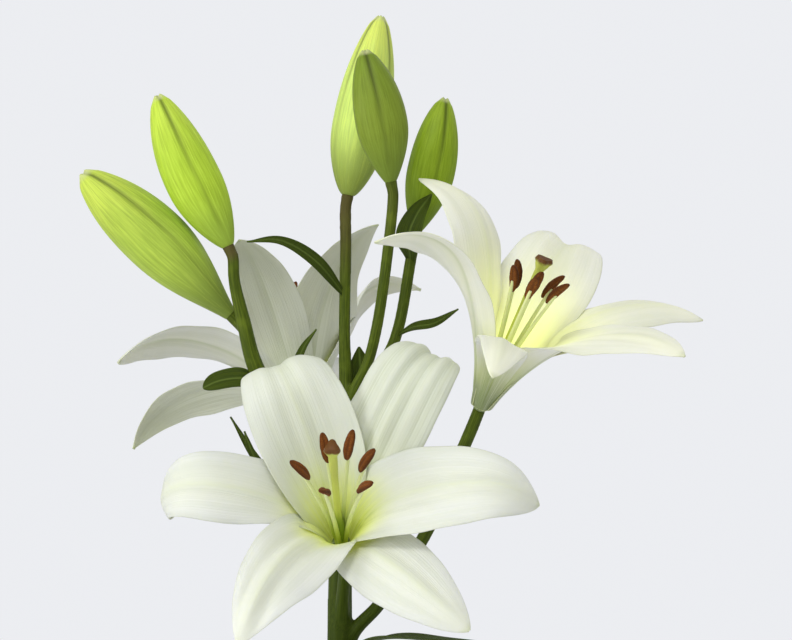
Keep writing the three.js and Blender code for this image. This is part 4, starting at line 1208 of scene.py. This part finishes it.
PHOTO_WIDTH = 792
PIXEL = 0.00045  # metres to a pixel of the photo at the stem
DISTANCE = 1.8
CAMERA_PLACE = (0.02475, -DISTANCE, 0.434)
LIT_PLACE = Vector((0, 0, 0.42))
FLOOR_RADIUS = 3
FLOOR_TINTS = (0.80, 0.805, 0.82), (0.83, 0.835, 0.85)
BACKDROP = (0.838, 0.850, 0.880)
SKY = (0.97, 0.985, 1)
SKY_STRENGTH = (0.25, 0.62)  # straight below, and straight above

view = bpy.data.cameras.new("camera")
view.sensor_width = 36
view.lens = view.sensor_width * DISTANCE / (PHOTO_WIDTH * PIXEL)
view.clip_start = 0.1
view.clip_end = 60
camera = bpy.data.objects.new("camera", view)
camera.location = CAMERA_PLACE
camera.rotation_euler = (math.pi / 2, 0, 0)
bpy.context.collection.objects.link(camera)
bpy.context.scene.camera = camera
bpy.context.scene.view_settings.view_transform = "Standard"

bpy.ops.object.select_all(action="DESELECT")
bpy.ops.mesh.primitive_circle_add(vertices=128, radius=FLOOR_RADIUS, fill_type="NGON")
floor = bpy.context.object
floor.name = "floor"
floor_paint = Paint("floor", Specular_IOR_Level=0.2)
floor_grain = floor_paint.grain(floor_paint.position(), 5.0)
floor_colour = floor_paint.blend(floor_grain, *FLOOR_TINTS)
floor.data.materials.append(floor_paint.finish(floor_colour, floor_grain * 0.1 + 0.8, floor_grain, 0.1))


def studio_world():
    """An even backdrop behind the flower, lit from all round by a sky that is brighter above than below."""
    world = bpy.data.worlds.new("studio")
    world.use_nodes = True
    nodes, links = world.node_tree.nodes, world.node_tree.links
    backdrop, sky = nodes["Background"], nodes.new("ShaderNodeBackground")
    backdrop.inputs["Color"].default_value = (*BACKDROP, 1)
    sky.inputs["Color"].default_value = (*SKY, 1)
    place = nodes.new("ShaderNodeTexCoord")
    split = nodes.new("ShaderNodeSeparateXYZ")
    strength = nodes.new("ShaderNodeMapRange")
    for socket, value in zip(strength.inputs[1:5], (-1, 1, *SKY_STRENGTH)):
        socket.default_value = value
    eye = nodes.new("ShaderNodeLightPath")
    both = nodes.new("ShaderNodeMixShader")
    links.new(place.outputs["Generated"], split.inputs[0])
    links.new(split.outputs[2], strength.inputs[0])
    links.new(strength.outputs[0], sky.inputs["Strength"])
    links.new(eye.outputs["Is Camera Ray"], both.inputs[0])
    links.new(sky.outputs[0], both.inputs[1])
    links.new(backdrop.outputs[0], both.inputs[2])
    links.new(both.outputs[0], nodes["World Output"].inputs["Surface"])
    return world


def soft_light(name, place, size, power):
    """A square soft light that looks at the blooms."""
    light = bpy.data.lights.new(name, "AREA")
    light.size = size
    light.energy = power
    lamp = bpy.data.objects.new(name, light)
    lamp.location = place
    lamp.rotation_euler = (LIT_PLACE - Vector(place)).to_track_quat("-Z", "Y").to_euler()
    bpy.context.collection.objects.link(lamp)


bpy.context.scene.world = studio_world()
soft_light("key", (-0.45, -1.5, 1.85), 0.8, 18)
soft_light("fill", (-1.6, -0.85, 0.62), 0.9, 11)
soft_light("rim", (1.2, 1.1, 1.5), 1.0, 4)
